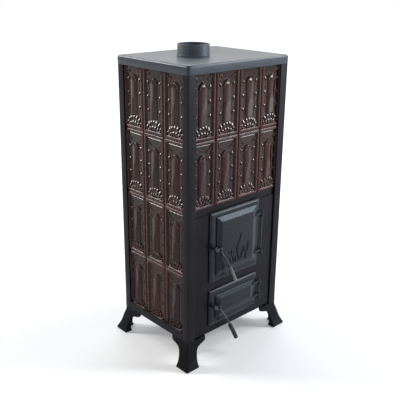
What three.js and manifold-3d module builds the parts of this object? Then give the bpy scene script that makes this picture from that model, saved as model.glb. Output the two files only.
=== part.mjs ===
// Free-standing solid-fuel stove clad in glazed relief tiles, in millimetres, +Z up.
// The doors face -Y. The origin is on the floor, in the middle of the stove's bounding box.
// The body is modelled about its own centre line, with z measured from its underside, and
// is then lifted on to the legs.

import * as THREE from 'three';
import { mergeVertices } from 'three/addons/utils/BufferGeometryUtils.js';
import Module from 'manifold-3d';

const wasm = await Module();
wasm.setup();

// ---------------------------------------------------------------- driving dimensions

const GAP = 0.3; // clearance between two pieces that touch

const BODY = { width: 480, depth: 376, height: 1000 };

const POST = { thick: 5, sideLeg: 30, frontLeg: 35, rearLeg: 30, chamfer: 1.5 };

const TOP = { rim: 31, overhang: 2, wall: 5, edgeRound: 5, cornerRound: 7 };

const SKIRT = { height: 30, shelfTop: 14.7, shelfThick: 3 };

// The tile fields start behind the posts, above the shelf and below the top plate.
const FIELD = { frontInset: 18, sideInset: 21.5, topInset: 11, frontColumns: 4, sideColumns: 3 };
const ROWS = { total: 4, front: 2 };

const TILE = {
  thick: 16,
  joint: 0.6,
  edgeDrop: 7,
  bevel: 7,
  crest: 4,
  slope: 5,
  fieldDrop: 6.5,
  backRim: 9,
  backHollow: 5,
  reliefRoot: 2,
};

const ARCH = { halfWidth: 20, bottom: 45, topInset: 47, relief: 5, bevel: 3, arcSteps: 5 };
const LEAVES = { halfWidth: 37, bottom: 17, height: 32, relief: 4, bevel: 4 };

const PANEL = { thick: 3, railShow: 26, behindPost: 14 };

const RAIL = { thick: 3, lap: 18 };

// Distances from the centre line to the edges of both doors and both door frames.
const DOORWAY = { frameLeft: 136, frameRight: 118, leafLeft: 107, leafRight: 101, lap: 10 };

const FRAME = { thick: 7, edge: 4, bevel: 8, collar: 4 };

const LEAF = { edge: 3, faceProud: 9.7, faceInset: 22.5, faceShiftX: -2, faceShiftZ: 2.5 };

// The ash door stands above the body's underside. The fire door fills the height from
// there to the panel's top edge.
const ASH = { frameBottom: 30, frameHeight: 145, leafRise: 27, leafDrop: 25 };
const FIRE = { frameAbovePanel: 4, frameAboveAsh: 33, leafRise: 26, leafDrop: 19 };

// Hinges: the undersides of the frame lugs are measured from the leaf's two ends.
const HINGE = { axisBeyondFrame: 12, axisProud: 11, knuckle: 7.5, lug: 9, pin: 3, bore: 3.3 };
const HINGE_HEAD = { radius: 5.5, height: 3, tail: 3 };
const HINGE_ARM = { thick: 6.5, root: 12 };
const FIRE_HINGES = { fromBottom: 20, fromTop: 54 };
const ASH_HINGES = { fromBottom: 4, fromTop: 31 };

const LATCH = {
  fromLeafEdge: 9,
  boss: 9,
  bossProud: 6.7,
  stud: 4,
  bore: 4.3,
  hub: 9,
  hubThick: 8,
  hubSides: 16,
  head: 6.5,
  headThick: 3,
  noseLength: 28,
  noseDrop: 1,
  noseRise: 10,
  armRadius: 3.5,
  armSides: 6,
  armSteps: 8,
  armRoot: 4.5,
  armBend: 18,
  handleProud: 39.3,
};
const FIRE_LATCH = { aboveLeafBottom: 104, angle: 25, gripStart: 74, gripEnd: 148 };
const ASH_LATCH = { aboveLeafBottom: 47, angle: 27, gripStart: 92, gripEnd: 170 };
const GRIP = { radius: 8.2, bore: 3.8, endRound: 3, approach: 9, cap: 5.5, capThick: 3 };
const KEEPER = { width: 15, height: 8, inFromFrame: 4, overNose: 1 };

const FLUE = {
  x: -24,
  y: 28,
  outer: 58,
  wall: 4,
  height: 38,
  flange: 12,
  flangeThick: 4,
  lip: 1,
  sides: 28,
};

const LINING = { wall: 22, belowTop: 70, slab: 30, slabBelowMouth: 38, root: 11 };
const GRATE = { width: 224, depth: 224, thick: 16, ledge: 12, bars: 10, rim: 12, slot: 11 };
const BAFFLE = { thick: 6, groove: 10, belowLining: 70, smokeGap: 76 };

const PAN = { wall: 2, sideGap: 3, topGap: 18, length: 280, rim: 4, behindPanel: 11 };

const FLOOR = { thick: 3, sideInset: 25, frontInset: 25, rearInset: 10, pad: 60, padInset: 14 };

const LEG = {
  height: 102,
  // [height below the body, flare outwards, reach of each wing inwards, thickness]
  wings: [
    [0, 0, 89, 9],
    [12, 1, 88, 9],
    [22, 2.5, 79, 9],
    [26, 3, 66, 9],
    [36, 4.5, 51, 9.5],
    [50, 6, 40, 10.5],
    [62, 8, 33, 12],
    [73, 13, 31, 14],
    [84, 18, 33, 18],
  ],
  // [height below the body, flare outwards, reach inwards]
  foot: [
    [80, 15, 32],
    [88, 25, 35],
    [96, 29, 38],
    [99, 29, 38],
    [102, 27, 36],
  ],
  topPlate: 70,
  topPlateCorner: 35,
  topPlateThick: 6,
};

// ---------------------------------------------------------------- derived places

const HALF_W = BODY.width / 2;
const HALF_D = BODY.depth / 2;
const FRONT_Y = -HALF_D;

const POST_TOP = BODY.height - TOP.rim - GAP;

// Tiles and the front panel lie behind the flanges of the posts.
const BEHIND_FLANGE = POST.thick + GAP;
const TILE_BACK = BEHIND_FLANGE + TILE.thick;

const FIELD_BOTTOM = SKIRT.shelfTop + GAP;
const FIELD_TOP = BODY.height - FIELD.topInset;
const ROW_PITCH = (FIELD_TOP - FIELD_BOTTOM) / ROWS.total;
const FRONT_FIELD_BOTTOM = FIELD_TOP - ROWS.front * ROW_PITCH;
const FRONT_PITCH = (BODY.width - 2 * FIELD.frontInset) / FIELD.frontColumns;
const SIDE_PITCH = (BODY.depth - 2 * FIELD.sideInset) / FIELD.sideColumns;

const PANEL_FACE = FRONT_Y + BEHIND_FLANGE;
const PANEL_BACK = PANEL_FACE + PANEL.thick;
const PANEL_TOP = FRONT_FIELD_BOTTOM - PANEL.railShow;
const PANEL_HALF_W = HALF_W - POST.frontLeg + PANEL.behindPost;
const RAIL_FACE = PANEL_BACK + GAP;

const FRAME_BACK = PANEL_FACE - GAP;
const FRAME_FACE = FRAME_BACK - FRAME.thick;
const LEAF_BACK = FRAME_FACE - GAP;
const LEAF_RIM = LEAF_BACK - LEAF.edge;
const HINGE_X = DOORWAY.frameRight + HINGE.axisBeyondFrame;
const HINGE_Y = FRAME_BACK - HINGE.axisProud;

const LINING_HALF_W = HALF_W - TILE_BACK - GAP;
const LINING_FRONT = FRONT_Y + TILE_BACK + GAP;
const BACK_PANEL_FACE = HALF_D - BEHIND_FLANGE;
const LINING_REAR = BACK_PANEL_FACE - PANEL.thick - GAP;
const LINING_TOP = BODY.height - LINING.belowTop;
const BAFFLE_BOTTOM = LINING_TOP - BAFFLE.belowLining;

// Outlines as [left, right, bottom, top] in the plane of the stove's front.
const ashFrame = [ASH.frameBottom, ASH.frameBottom + ASH.frameHeight];
const fireFrame = [ashFrame[1] + FIRE.frameAboveAsh, PANEL_TOP + FIRE.frameAbovePanel];
const leafRows = ([bottom, top], door) => [bottom + door.leafRise, top - door.leafDrop];
const ASH_FRAME = [-DOORWAY.frameLeft, DOORWAY.frameRight, ...ashFrame];
const FIRE_FRAME = [-DOORWAY.frameLeft, DOORWAY.frameRight, ...fireFrame];
const ASH_LEAF = [-DOORWAY.leafLeft, DOORWAY.leafRight, ...leafRows(ashFrame, ASH)];
const FIRE_LEAF = [-DOORWAY.leafLeft, DOORWAY.leafRight, ...leafRows(fireFrame, FIRE)];

const inset = ([left, right, bottom, top], by) => [left + by, right - by, bottom + by, top - by];
const FIRE_MOUTH = inset(FIRE_LEAF, DOORWAY.lap);
const ASH_MOUTH = inset(ASH_LEAF, DOORWAY.lap);

const FLOOR_TOP = ASH_MOUTH[2] - GAP;
const SLAB_TOP = FIRE_MOUTH[2] - LINING.slabBelowMouth;
const SLAB_BOTTOM = SLAB_TOP - LINING.slab;

// The grips stand out furthest at the front, the feet furthest at the rear.
const FOOT_FLARE = Math.max(...LEG.foot.map(([, flare]) => flare));
const HANDLE_Y = FRAME_BACK - LATCH.handleProud;
const FRONT_REACH = FRONT_Y - (HANDLE_Y - GRIP.radius);
const BODY_SHIFT = (FRONT_REACH - FOOT_FLARE) / 2;

// ---------------------------------------------------------------- finishes

const finish = (color, roughness, metalness) =>
  new THREE.MeshStandardMaterial({ color, roughness, metalness });

const FINISH = {
  glaze: () => finish(0x4a1e1a, 0.12, 0),
  frame: () => finish(0x35373c, 0.5, 0.3),
  top: () => finish(0x3d4249, 0.42, 0.3),
  casting: () => finish(0x2c2e33, 0.6, 0.4),
  steel: () => finish(0xa8abb0, 0.3, 1),
  darkSteel: () => finish(0x4a4c50, 0.4, 1),
  firebrick: () => finish(0xb08a64, 0.95, 0),
  zinc: () => finish(0x8f9498, 0.5, 0.9),
};

// ---------------------------------------------------------------- shape helpers

const shape2 = (points) => new THREE.Shape(points.map(([x, y]) => new THREE.Vector2(x, y)));

// Turns every face round when the closed mesh encloses a negative volume.
function facingOut(geometry) {
  const { position } = geometry.attributes;
  const index = geometry.index.array;
  const [a, b, c] = [new THREE.Vector3(), new THREE.Vector3(), new THREE.Vector3()];
  let volume = 0;
  for (let i = 0; i < index.length; i += 3) {
    a.fromBufferAttribute(position, index[i]);
    b.fromBufferAttribute(position, index[i + 1]);
    c.fromBufferAttribute(position, index[i + 2]);
    volume += a.dot(b.cross(c));
  }
  if (volume < 0) {
    index.reverse();
  }
  return geometry;
}

// Triangles of a flat ring, wound the same way as the ring itself.
function capFaces(ring, flatAxis) {
  const kept = [0, 1, 2].filter((axis) => axis !== flatAxis);
  const flat = ring.map((point) => new THREE.Vector2(point[kept[0]], point[kept[1]]));
  const way = Math.sign(THREE.ShapeUtils.area(flat));
  return THREE.ShapeUtils.triangulateShape(flat, []).map(([i, j, k]) => {
    const same = Math.sign(THREE.ShapeUtils.area([flat[i], flat[j], flat[k]])) === way;
    return same ? [i, j, k] : [i, k, j];
  });
}

// A closed skin through rings of equal point counts. Its ends are capped, or, when looped,
// the last ring runs back into the first. flatAxis is the axis that each ring is square to.
function loft(rings, flatAxis, looped = false) {
  const sides = rings[0].length;
  const corner = (ring, k) => (ring % rings.length) * sides + (k % sides);
  const faces = [];
  const bands = looped ? rings.length : rings.length - 1;
  for (let ring = 0; ring < bands; ring += 1) {
    for (let k = 0; k < sides; k += 1) {
      const here = [corner(ring, k), corner(ring, k + 1)];
      const next = [corner(ring + 1, k), corner(ring + 1, k + 1)];
      faces.push([here[0], here[1], next[1]], [here[0], next[1], next[0]]);
    }
  }
  if (!looped) {
    const last = rings.length - 1;
    capFaces(rings[0], flatAxis).forEach(([i, j, k]) => faces.push([i, k, j]));
    capFaces(rings[last], flatAxis).forEach((face) =>
      faces.push(face.map((k) => corner(last, k))));
  }
  const geometry = new THREE.BufferGeometry();
  geometry.setAttribute('position', new THREE.Float32BufferAttribute(rings.flat(2), 3));
  geometry.setIndex(faces.flat());
  return facingOut(geometry);
}

function toSolid(geometry) {
  const bare = geometry.clone();
  bare.deleteAttribute('normal');
  bare.deleteAttribute('uv');
  const merged = mergeVertices(bare);
  return new wasm.Manifold(new wasm.Mesh({
    numProp: 3,
    vertProperties: new Float32Array(merged.attributes.position.array),
    triVerts: new Uint32Array(merged.index.array),
  }));
}

function toGeometry(solid) {
  const mesh = solid.getMesh();
  const geometry = new THREE.BufferGeometry();
  geometry.setAttribute('position', new THREE.Float32BufferAttribute(mesh.vertProperties, 3));
  geometry.setIndex(new THREE.BufferAttribute(mesh.triVerts, 1));
  return geometry;
}

// The pieces joined into one, less the holes.
function fuse(pieces, holes = []) {
  const joined = pieces.map(toSolid).reduce((sum, piece) => sum.add(piece));
  return toGeometry(holes.map(toSolid).reduce((sum, hole) => sum.subtract(hole), joined));
}

function block([x0, x1], [y0, y1], [z0, z1]) {
  const box = new THREE.BoxGeometry(x1 - x0, y1 - y0, z1 - z0);
  return box.translate((x0 + x1) / 2, (y0 + y1) / 2, (z0 + z1) / 2);
}

// A round bar standing on z0, along Z.
function upright(radius, x, y, [z0, z1], sides = 12) {
  const bar = new THREE.CylinderGeometry(radius, radius, z1 - z0, sides);
  return bar.rotateX(Math.PI / 2).translate(x, y, (z0 + z1) / 2);
}

// A round bar along Y.
function crosswise(radius, x, z, [y0, y1], sides = 12) {
  const bar = new THREE.CylinderGeometry(radius, radius, y1 - y0, sides);
  return bar.translate(x, (y0 + y1) / 2, z);
}

const frontRing = ([left, right, bottom, top], y) =>
  [[left, y, bottom], [right, y, bottom], [right, y, top], [left, y, top]];

// A rectangle with rounded corners in plan, at height z.
function planRing(halfW, halfD, z, radius) {
  const ring = [];
  const quarter = [0, Math.PI / 4, Math.PI / 2];
  [[1, 1, 0], [-1, 1, 1], [-1, -1, 2], [1, -1, 3]].forEach(([sx, sy, turn]) => {
    quarter.forEach((angle) => {
      const a = angle + turn * Math.PI / 2;
      const x = sx * (halfW - radius) + radius * Math.cos(a);
      const y = sy * (halfD - radius) + radius * Math.sin(a);
      ring.push([x, y, z]);
    });
  });
  return ring;
}

// ---------------------------------------------------------------- tiles

// One tile in the XZ plane: bottom edge on z = 0, border crest on y = 0, back towards +Y.
// Its border rises from the joints to a crest and falls to a sunk field, which carries a
// round-topped column above a fan of leaves. The back is hollow inside a rim.
function tile(width, height) {
  const outline = [-width / 2, width / 2, 0, height];
  const fieldEdge = TILE.bevel + TILE.crest + TILE.slope;
  const body = loft([
    frontRing(inset(outline, TILE.backRim), TILE.thick - TILE.backHollow),
    frontRing(inset(outline, TILE.backRim), TILE.thick),
    frontRing(outline, TILE.thick),
    frontRing(outline, TILE.edgeDrop),
    frontRing(inset(outline, TILE.bevel), 0),
    frontRing(inset(outline, TILE.bevel + TILE.crest), 0),
    frontRing(inset(outline, fieldEdge), TILE.fieldDrop),
  ], 1);

  const arch = (shrink) => {
    const radius = ARCH.halfWidth - shrink;
    const spring = height - ARCH.topInset - ARCH.halfWidth;
    const points = [[-radius, ARCH.bottom], [radius, ARCH.bottom]];
    for (let step = 0; step <= ARCH.arcSteps; step += 1) {
      const angle = Math.PI * step / ARCH.arcSteps;
      points.push([radius * Math.cos(angle), spring + radius * Math.sin(angle)]);
    }
    return points;
  };
  const fan = (shrink) => {
    const [reach, low] = [LEAVES.halfWidth - shrink, LEAVES.bottom + shrink];
    const tip = ARCH.halfWidth;
    return [
      [-reach, low],
      [reach, low],
      [reach, LEAVES.bottom + LEAVES.height / 2],
      [tip, LEAVES.bottom + LEAVES.height],
      [-tip, LEAVES.bottom + LEAVES.height],
      [-reach, LEAVES.bottom + LEAVES.height / 2],
    ];
  };
  return fuse([
    body,
    relief(arch, ARCH.relief, ARCH.bevel),
    relief(fan, LEAVES.relief, LEAVES.bevel),
  ]);
}

// A raised plateau with a sloping edge, from inside the tile's web to proud of its field.
// outlineAt gives the outline shrunk by a distance.
function relief(outlineAt, proud, slope) {
  const level = (shrink, y) => outlineAt(shrink).map(([x, z]) => [x, y, z]);
  return loft([
    level(0, TILE.fieldDrop + TILE.reliefRoot),
    level(0, TILE.fieldDrop),
    level(slope, TILE.fieldDrop - proud),
  ], 1);
}

// ---------------------------------------------------------------- casing

// An angle post with its outer corner at the body's corner (signX, signY).
function post(signX, signY, faceLeg) {
  const [x, y] = [signX * HALF_W, signY * HALF_D];
  const inX = (distance) => x - signX * distance;
  const inY = (distance) => y - signY * distance;
  const outline = [
    [inX(POST.chamfer), y],
    [inX(faceLeg), y],
    [inX(faceLeg), inY(POST.thick)],
    [inX(POST.thick), inY(POST.thick)],
    [inX(POST.thick), inY(POST.sideLeg)],
    [x, inY(POST.sideLeg)],
    [x, inY(POST.chamfer)],
  ];
  const ring = (z) => outline.map(([px, py]) => [px, py, z]);
  return loft([ring(0), ring(POST_TOP)], 2);
}

// The lid: a flat plate with a turned-down rim, rounded edges and a hole for the flue.
function topPlate() {
  const [halfW, halfD] = [HALF_W + TOP.overhang, HALF_D + TOP.overhang];
  const bottom = BODY.height - TOP.rim;
  const innerRound = TOP.cornerRound - TOP.wall;
  const ring = (in_, z, radius) => planRing(halfW - in_, halfD - in_, z, radius);
  const midRound = TOP.edgeRound * (1 - Math.SQRT1_2);
  const skin = loft([
    ring(TOP.wall, BODY.height - TOP.wall, innerRound),
    ring(TOP.wall, bottom, innerRound),
    ring(0, bottom, TOP.cornerRound),
    ring(0, BODY.height - TOP.edgeRound, TOP.cornerRound),
    ring(midRound, BODY.height - midRound, TOP.cornerRound - midRound),
    ring(TOP.edgeRound, BODY.height, TOP.cornerRound - TOP.edgeRound),
  ], 2);
  const drill = [BODY.height - TOP.wall - TOP.edgeRound, BODY.height + TOP.edgeRound];
  return fuse([skin], [upright(FLUE.outer + GAP, FLUE.x, FLUE.y, drill, FLUE.sides)]);
}

// The flue spigot: a ring through the top plate, held by a flange under it.
function flueCollar() {
  const bore = FLUE.outer - FLUE.wall;
  const flangeTop = BODY.height - TOP.wall - GAP;
  const flangeBottom = flangeTop - FLUE.flangeThick;
  const top = BODY.height + FLUE.height;
  const profile = [
    [bore, flangeBottom],
    [FLUE.outer + FLUE.flange, flangeBottom],
    [FLUE.outer + FLUE.flange, flangeTop],
    [FLUE.outer, flangeTop],
    [FLUE.outer, top - FLUE.lip],
    [FLUE.outer - FLUE.lip, top],
    [bore + FLUE.lip, top],
    [bore, top - FLUE.lip],
    [bore, flangeBottom],
  ].map(([r, z]) => new THREE.Vector2(r, z));
  const ring = new THREE.LatheGeometry(profile, FLUE.sides);
  return ring.rotateX(Math.PI / 2).translate(FLUE.x, FLUE.y, 0);
}

// The base's outline in plan: the body's, notched for the posts and set behind the panel.
function baseOutline() {
  const inner = [HALF_W - BEHIND_FLANGE, HALF_D - BEHIND_FLANGE];
  const skirtY = HALF_D - POST.sideLeg - GAP;
  const skirtX = HALF_W - POST.rearLeg - GAP;
  const half = [
    [inner[0], PANEL_BACK + GAP],
    [inner[0], -skirtY],
    [HALF_W, -skirtY],
    [HALF_W, skirtY],
    [inner[0], skirtY],
    [inner[0], inner[1]],
    [skirtX, inner[1]],
    [skirtX, HALF_D],
  ];
  return [...half, ...half.toReversed().map(([x, y]) => [-x, y])];
}

// The welded base: three skirts flush with the posts, a shelf that carries the side tiles,
// a raised floor for the lining and ash pan, and a pad for each leg.
function baseFrame() {
  const shelfBottom = SKIRT.shelfTop - SKIRT.shelfThick;
  const skirtY = HALF_D - POST.sideLeg - GAP;
  const skirtX = HALF_W - POST.rearLeg - GAP;
  const skirts = [
    block([-HALF_W, -HALF_W + POST.thick], [-skirtY, skirtY], [0, SKIRT.height]),
    block([HALF_W - POST.thick, HALF_W], [-skirtY, skirtY], [0, SKIRT.height]),
    block([-skirtX, skirtX], [HALF_D - POST.thick, HALF_D], [0, SKIRT.height]),
  ];
  const shelf = new THREE.ExtrudeGeometry(shape2(baseOutline()), {
    depth: SKIRT.shelfThick,
    bevelEnabled: false,
  }).translate(0, 0, shelfBottom);
  const hatX = HALF_W - FLOOR.sideInset;
  const hatY = [FRONT_Y + FLOOR.frontInset, HALF_D - FLOOR.rearInset];
  const hat = block([-hatX, hatX], hatY, [shelfBottom, FLOOR_TOP]);
  const under = block(
    [-hatX + FLOOR.thick, hatX - FLOOR.thick],
    [hatY[0] + FLOOR.thick, hatY[1] - FLOOR.thick],
    [-FLOOR.thick, FLOOR_TOP - FLOOR.thick],
  );
  const padX = HALF_W - FLOOR.padInset;
  const padFront = PANEL_BACK + GAP;
  const padRear = HALF_D - FLOOR.padInset;
  const pads = [[-padX, -padX + FLOOR.pad], [padX - FLOOR.pad, padX]].flatMap((spanX) => [
    block(spanX, [padFront, padFront + FLOOR.pad], [0, SKIRT.shelfTop]),
    block(spanX, [padRear - FLOOR.pad, padRear], [0, SKIRT.shelfTop]),
  ]);
  return fuse([fuse([shelf, hat], [under]), ...skirts, ...pads]);
}

// The rail between the panel and the lowest front tiles: a web behind the panel's edge,
// with a shelf under the tiles.
function midRail() {
  const top = FRONT_FIELD_BOTTOM - GAP;
  const reach = HALF_W - POST.thick - GAP;
  const shelfBack = FRONT_Y + TILE_BACK;
  return fuse([
    block([-reach, reach], [RAIL_FACE, RAIL_FACE + RAIL.thick], [PANEL_TOP - RAIL.lap, top]),
    block([-reach, reach], [RAIL_FACE, shelfBack], [top - RAIL.thick, top]),
  ]);
}

function frontPanel() {
  const collarHole = (mouth) => {
    const [left, right, bottom, top] = inset(mouth, -FRAME.collar - GAP);
    const through = [PANEL_FACE - PANEL.thick, PANEL_BACK + PANEL.thick];
    return block([left, right], through, [bottom, top]);
  };
  const sheet = block([-PANEL_HALF_W, PANEL_HALF_W], [PANEL_FACE, PANEL_BACK], [0, PANEL_TOP]);
  return fuse([sheet], [collarHole(FIRE_MOUTH), collarHole(ASH_MOUTH)]);
}

function backPanel() {
  const reach = HALF_W - POST.thick - GAP;
  const face = BACK_PANEL_FACE;
  return block([-reach, reach], [face - PANEL.thick, face], [FIELD_BOTTOM, FIELD_TOP]);
}

// ---------------------------------------------------------------- doors

const latchX = -DOORWAY.leafLeft + LATCH.fromLeafEdge;
const latchZ = (leaf, latch) => leaf[2] + latch.aboveLeafBottom;

// Heights of a frame lug and of the door knuckle that stands on it.
const lugSpan = (leaf, rise) => [leaf[2] + rise, leaf[2] + rise + HINGE.lug];
const knuckleSpan = (leaf, rise) => lugSpan(leaf, rise).map((z) => z + HINGE.lug + GAP);
const hingeRises = (leaf, hinges) => [hinges.fromBottom, leaf[3] - leaf[2] - hinges.fromTop];

// A cast frame: a bevelled flange on the panel, and a collar through it into the lining.
// It carries the hinge lugs on the right and the latch's keeper on the left.
function doorFrame(outline, mouth, leaf, hinges, latch) {
  const collarEnd = LINING_FRONT - GAP;
  const collar = inset(mouth, -FRAME.collar);
  const casting = loft([
    frontRing(outline, FRAME_BACK),
    frontRing(outline, FRAME_BACK - FRAME.edge),
    frontRing(inset(outline, FRAME.bevel), FRAME_FACE),
    frontRing(mouth, FRAME_FACE),
    frontRing(mouth, collarEnd),
    frontRing(collar, collarEnd),
    frontRing(collar, FRAME_BACK),
  ], 1, true);
  const rises = hingeRises(leaf, hinges);
  const lugs = rises.flatMap((rise) => [
    upright(HINGE.knuckle, HINGE_X, HINGE_Y, lugSpan(leaf, rise)),
    block(
      [DOORWAY.frameRight - FRAME.bevel, HINGE_X],
      [FRAME_FACE - GAP, FRAME_BACK - FRAME.edge / 2],
      lugSpan(leaf, rise),
    ),
  ]);
  const noseTop = latchZ(leaf, latch) + LATCH.noseRise;
  const keeperLeft = -DOORWAY.frameLeft + KEEPER.inFromFrame;
  const noseFront = LEAF_RIM - LATCH.bossProud - GAP - LATCH.hubThick;
  const keeper = block(
    [keeperLeft, keeperLeft + KEEPER.width],
    [noseFront - KEEPER.overNose, FRAME_FACE + FRAME.thick / 2],
    [noseTop + GAP, noseTop + GAP + KEEPER.height],
  );
  const bores = rises.map((rise) => {
    const [low, high] = lugSpan(leaf, rise);
    return upright(HINGE.bore, HINGE_X, HINGE_Y, [low - GAP, high + GAP]);
  });
  return fuse([casting, ...lugs, keeper], bores);
}

// A cast leaf: a flat rim and a raised face with a wide bevel, knuckles on the right, and
// on the left a boss with the stud that the latch turns on, headed over the latch.
function door(leaf, hinges, latch) {
  const raised = inset(leaf, LEAF.faceInset);
  const face = [
    raised[0] + LEAF.faceShiftX,
    raised[1] + LEAF.faceShiftX,
    raised[2] + LEAF.faceShiftZ,
    raised[3] + LEAF.faceShiftZ,
  ];
  const casting = loft([
    frontRing(leaf, LEAF_BACK),
    frontRing(leaf, LEAF_RIM),
    frontRing(face, LEAF_BACK - LEAF.faceProud),
  ], 1);
  const rises = hingeRises(leaf, hinges);
  const knuckles = rises.flatMap((rise) => [
    upright(HINGE.knuckle, HINGE_X, HINGE_Y, knuckleSpan(leaf, rise)),
    block(
      [DOORWAY.leafRight - HINGE_ARM.root, HINGE_X],
      [LEAF_BACK - HINGE_ARM.thick, LEAF_BACK],
      knuckleSpan(leaf, rise),
    ),
  ]);
  const z = latchZ(leaf, latch);
  const bossFace = LEAF_RIM - LATCH.bossProud;
  const headBack = bossFace - 2 * GAP - LATCH.hubThick;
  const stud = [
    crosswise(LATCH.boss, latchX, z, [bossFace, LEAF_BACK - LEAF.edge / 2]),
    crosswise(LATCH.stud, latchX, z, [headBack - LATCH.headThick / 2, LEAF_RIM]),
    crosswise(LATCH.head, latchX, z, [headBack - LATCH.headThick, headBack]),
  ];
  const bores = rises.map((rise) => {
    const [low, high] = knuckleSpan(leaf, rise);
    return upright(HINGE.bore, HINGE_X, HINGE_Y, [low - GAP, high + GAP]);
  });
  return fuse([casting, ...knuckles, ...stud], bores);
}

// A headed rod dropped through both knuckles and both lugs.
function hingePin(leaf, hinges) {
  const [lower, upper] = hingeRises(leaf, hinges);
  const bottom = lugSpan(leaf, lower)[0] - HINGE_HEAD.tail;
  const headBottom = knuckleSpan(leaf, upper)[1] + GAP;
  const head = [headBottom, headBottom + HINGE_HEAD.height];
  return fuse([
    upright(HINGE.pin, HINGE_X, HINGE_Y, [bottom, head[1] - HINGE_HEAD.height / 2]),
    upright(HINGE_HEAD.radius, HINGE_X, HINGE_Y, head),
  ]);
}

// Places a piece, made hanging straight down from the latch's pivot, at the latch's rest.
const hang = (geometry, leaf, latch) => geometry
  .rotateY(-THREE.MathUtils.degToRad(latch.angle))
  .translate(latchX, 0, latchZ(leaf, latch));

// A lever: a hub on the stud, a nose that stops under the keeper, and a bar that bends
// outwards and runs through the grip to a riveted end.
function latchLever(leaf, latch) {
  const hubBack = LEAF_RIM - LATCH.bossProud - GAP;
  const hubFront = hubBack - LATCH.hubThick;
  const barY = hubBack - LATCH.hubThick / 2 - GAP;
  const section = Array.from({ length: LATCH.armSides }, (_, k) => {
    const angle = 2 * Math.PI * (k + 0.5) / LATCH.armSides;
    return [LATCH.armRadius * Math.cos(angle), LATCH.armRadius * Math.sin(angle)];
  });
  const route = new THREE.CatmullRomCurve3([
    new THREE.Vector3(0, barY, -LATCH.armRoot),
    new THREE.Vector3(0, barY, -LATCH.armBend),
    new THREE.Vector3(0, HANDLE_Y, -latch.gripStart + GRIP.approach),
    new THREE.Vector3(0, HANDLE_Y, -latch.gripStart),
  ]);
  const bend = new THREE.ExtrudeGeometry(shape2(section), {
    steps: LATCH.armSteps,
    extrudePath: route,
  });
  const capTop = -latch.gripEnd - GAP;
  const barSpan = [capTop - GRIP.capThick / 2, -latch.gripStart + LATCH.armRadius];
  const bar = upright(LATCH.armRadius, 0, HANDLE_Y, barSpan, LATCH.armSides);
  const cap = upright(GRIP.cap, 0, HANDLE_Y, [capTop - GRIP.capThick, capTop]);
  const z = latchZ(leaf, latch);
  const hub = crosswise(LATCH.hub, latchX, z, [hubFront, hubBack], LATCH.hubSides);
  const nose = block(
    [latchX - LATCH.noseLength, latchX],
    [hubFront, hubBack],
    [z - LATCH.noseDrop, z + LATCH.noseRise],
  );
  const pivot = crosswise(LATCH.bore, latchX, z, [hubFront - LATCH.stud, hubBack + LATCH.stud]);
  const hanging = hang(fuse([bend, bar, cap]), leaf, latch);
  return fuse([hanging, hub, nose], [pivot]);
}

function latchGrip(leaf, latch) {
  const length = latch.gripEnd - latch.gripStart;
  const shoulder = GRIP.radius - GRIP.endRound;
  const profile = [
    [GRIP.bore, 0],
    [shoulder, 0],
    [GRIP.radius, GRIP.endRound],
    [GRIP.radius, length - GRIP.endRound],
    [shoulder, length],
    [GRIP.bore, length],
    [GRIP.bore, 0],
  ].map(([r, z]) => new THREE.Vector2(r, z));
  const sleeve = new THREE.LatheGeometry(profile, 12);
  sleeve.rotateX(Math.PI / 2).translate(0, HANDLE_Y, -latch.gripEnd);
  return hang(sleeve, leaf, latch);
}

// ---------------------------------------------------------------- inside

// Firebrick walls from the floor up, with a hearth slab that has a seat for the grate, a
// mouth behind each door and a groove in each side wall for the baffle.
function lining() {
  const bottom = FLOOR_TOP + GAP;
  const innerX = LINING_HALF_W - LINING.wall;
  const innerY = [LINING_FRONT + LINING.wall, LINING_REAR - LINING.wall];
  const shaft = [bottom - LINING.wall, LINING_TOP + LINING.wall];
  const centreY = (innerY[0] + innerY[1]) / 2;
  const seat = (grow) => [
    [-GRATE.width / 2 - grow, GRATE.width / 2 + grow],
    [centreY - GRATE.depth / 2 - grow, centreY + GRATE.depth / 2 + grow],
  ];
  const walls = fuse(
    [block([-LINING_HALF_W, LINING_HALF_W], [LINING_FRONT, LINING_REAR], [bottom, LINING_TOP])],
    [block([-innerX, innerX], innerY, shaft)],
  );
  const rootX = innerX + LINING.root;
  const rootY = [innerY[0] - LINING.root, innerY[1] + LINING.root];
  const slab = fuse(
    [block([-rootX, rootX], rootY, [SLAB_BOTTOM, SLAB_TOP])],
    [
      block(...seat(GAP), [SLAB_TOP - GRATE.thick - GAP, SLAB_TOP + GRATE.thick]),
      block(...seat(-GRATE.ledge), [SLAB_BOTTOM - GRATE.thick, SLAB_TOP]),
    ],
  );
  const grooveX = innerX + BAFFLE.groove;
  const groove = block(
    [-grooveX, grooveX],
    [innerY[0] + BAFFLE.smokeGap - GAP, innerY[1]],
    [BAFFLE_BOTTOM - GAP, BAFFLE_BOTTOM + BAFFLE.thick + GAP],
  );
  const mouths = [FIRE_MOUTH, ASH_MOUTH].map((mouth) => {
    const [left, right, low, high] = inset(mouth, -FRAME.collar);
    return block([left, right], [LINING_FRONT - LINING.wall, innerY[0] + GAP], [low, high]);
  });
  return fuse([walls, slab], [...mouths, groove]);
}

// A slotted cast grate, seated flush in the hearth slab.
function grate() {
  const centreY = (LINING_FRONT + LINING_REAR) / 2;
  const span = (centre, size) => [centre - size / 2, centre + size / 2];
  const open = GRATE.width - 2 * GRATE.rim;
  const pitch = open / GRATE.bars;
  const slots = Array.from({ length: GRATE.bars }, (_, k) => block(
    span(pitch * (k + 0.5) - open / 2, GRATE.slot),
    span(centreY, GRATE.depth - 2 * GRATE.rim),
    [SLAB_TOP - 2 * GRATE.thick, SLAB_TOP + GRATE.thick],
  ));
  const plate = block(
    span(0, GRATE.width),
    span(centreY, GRATE.depth),
    [SLAB_TOP - GRATE.thick, SLAB_TOP],
  );
  return fuse([plate], slots);
}

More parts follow.
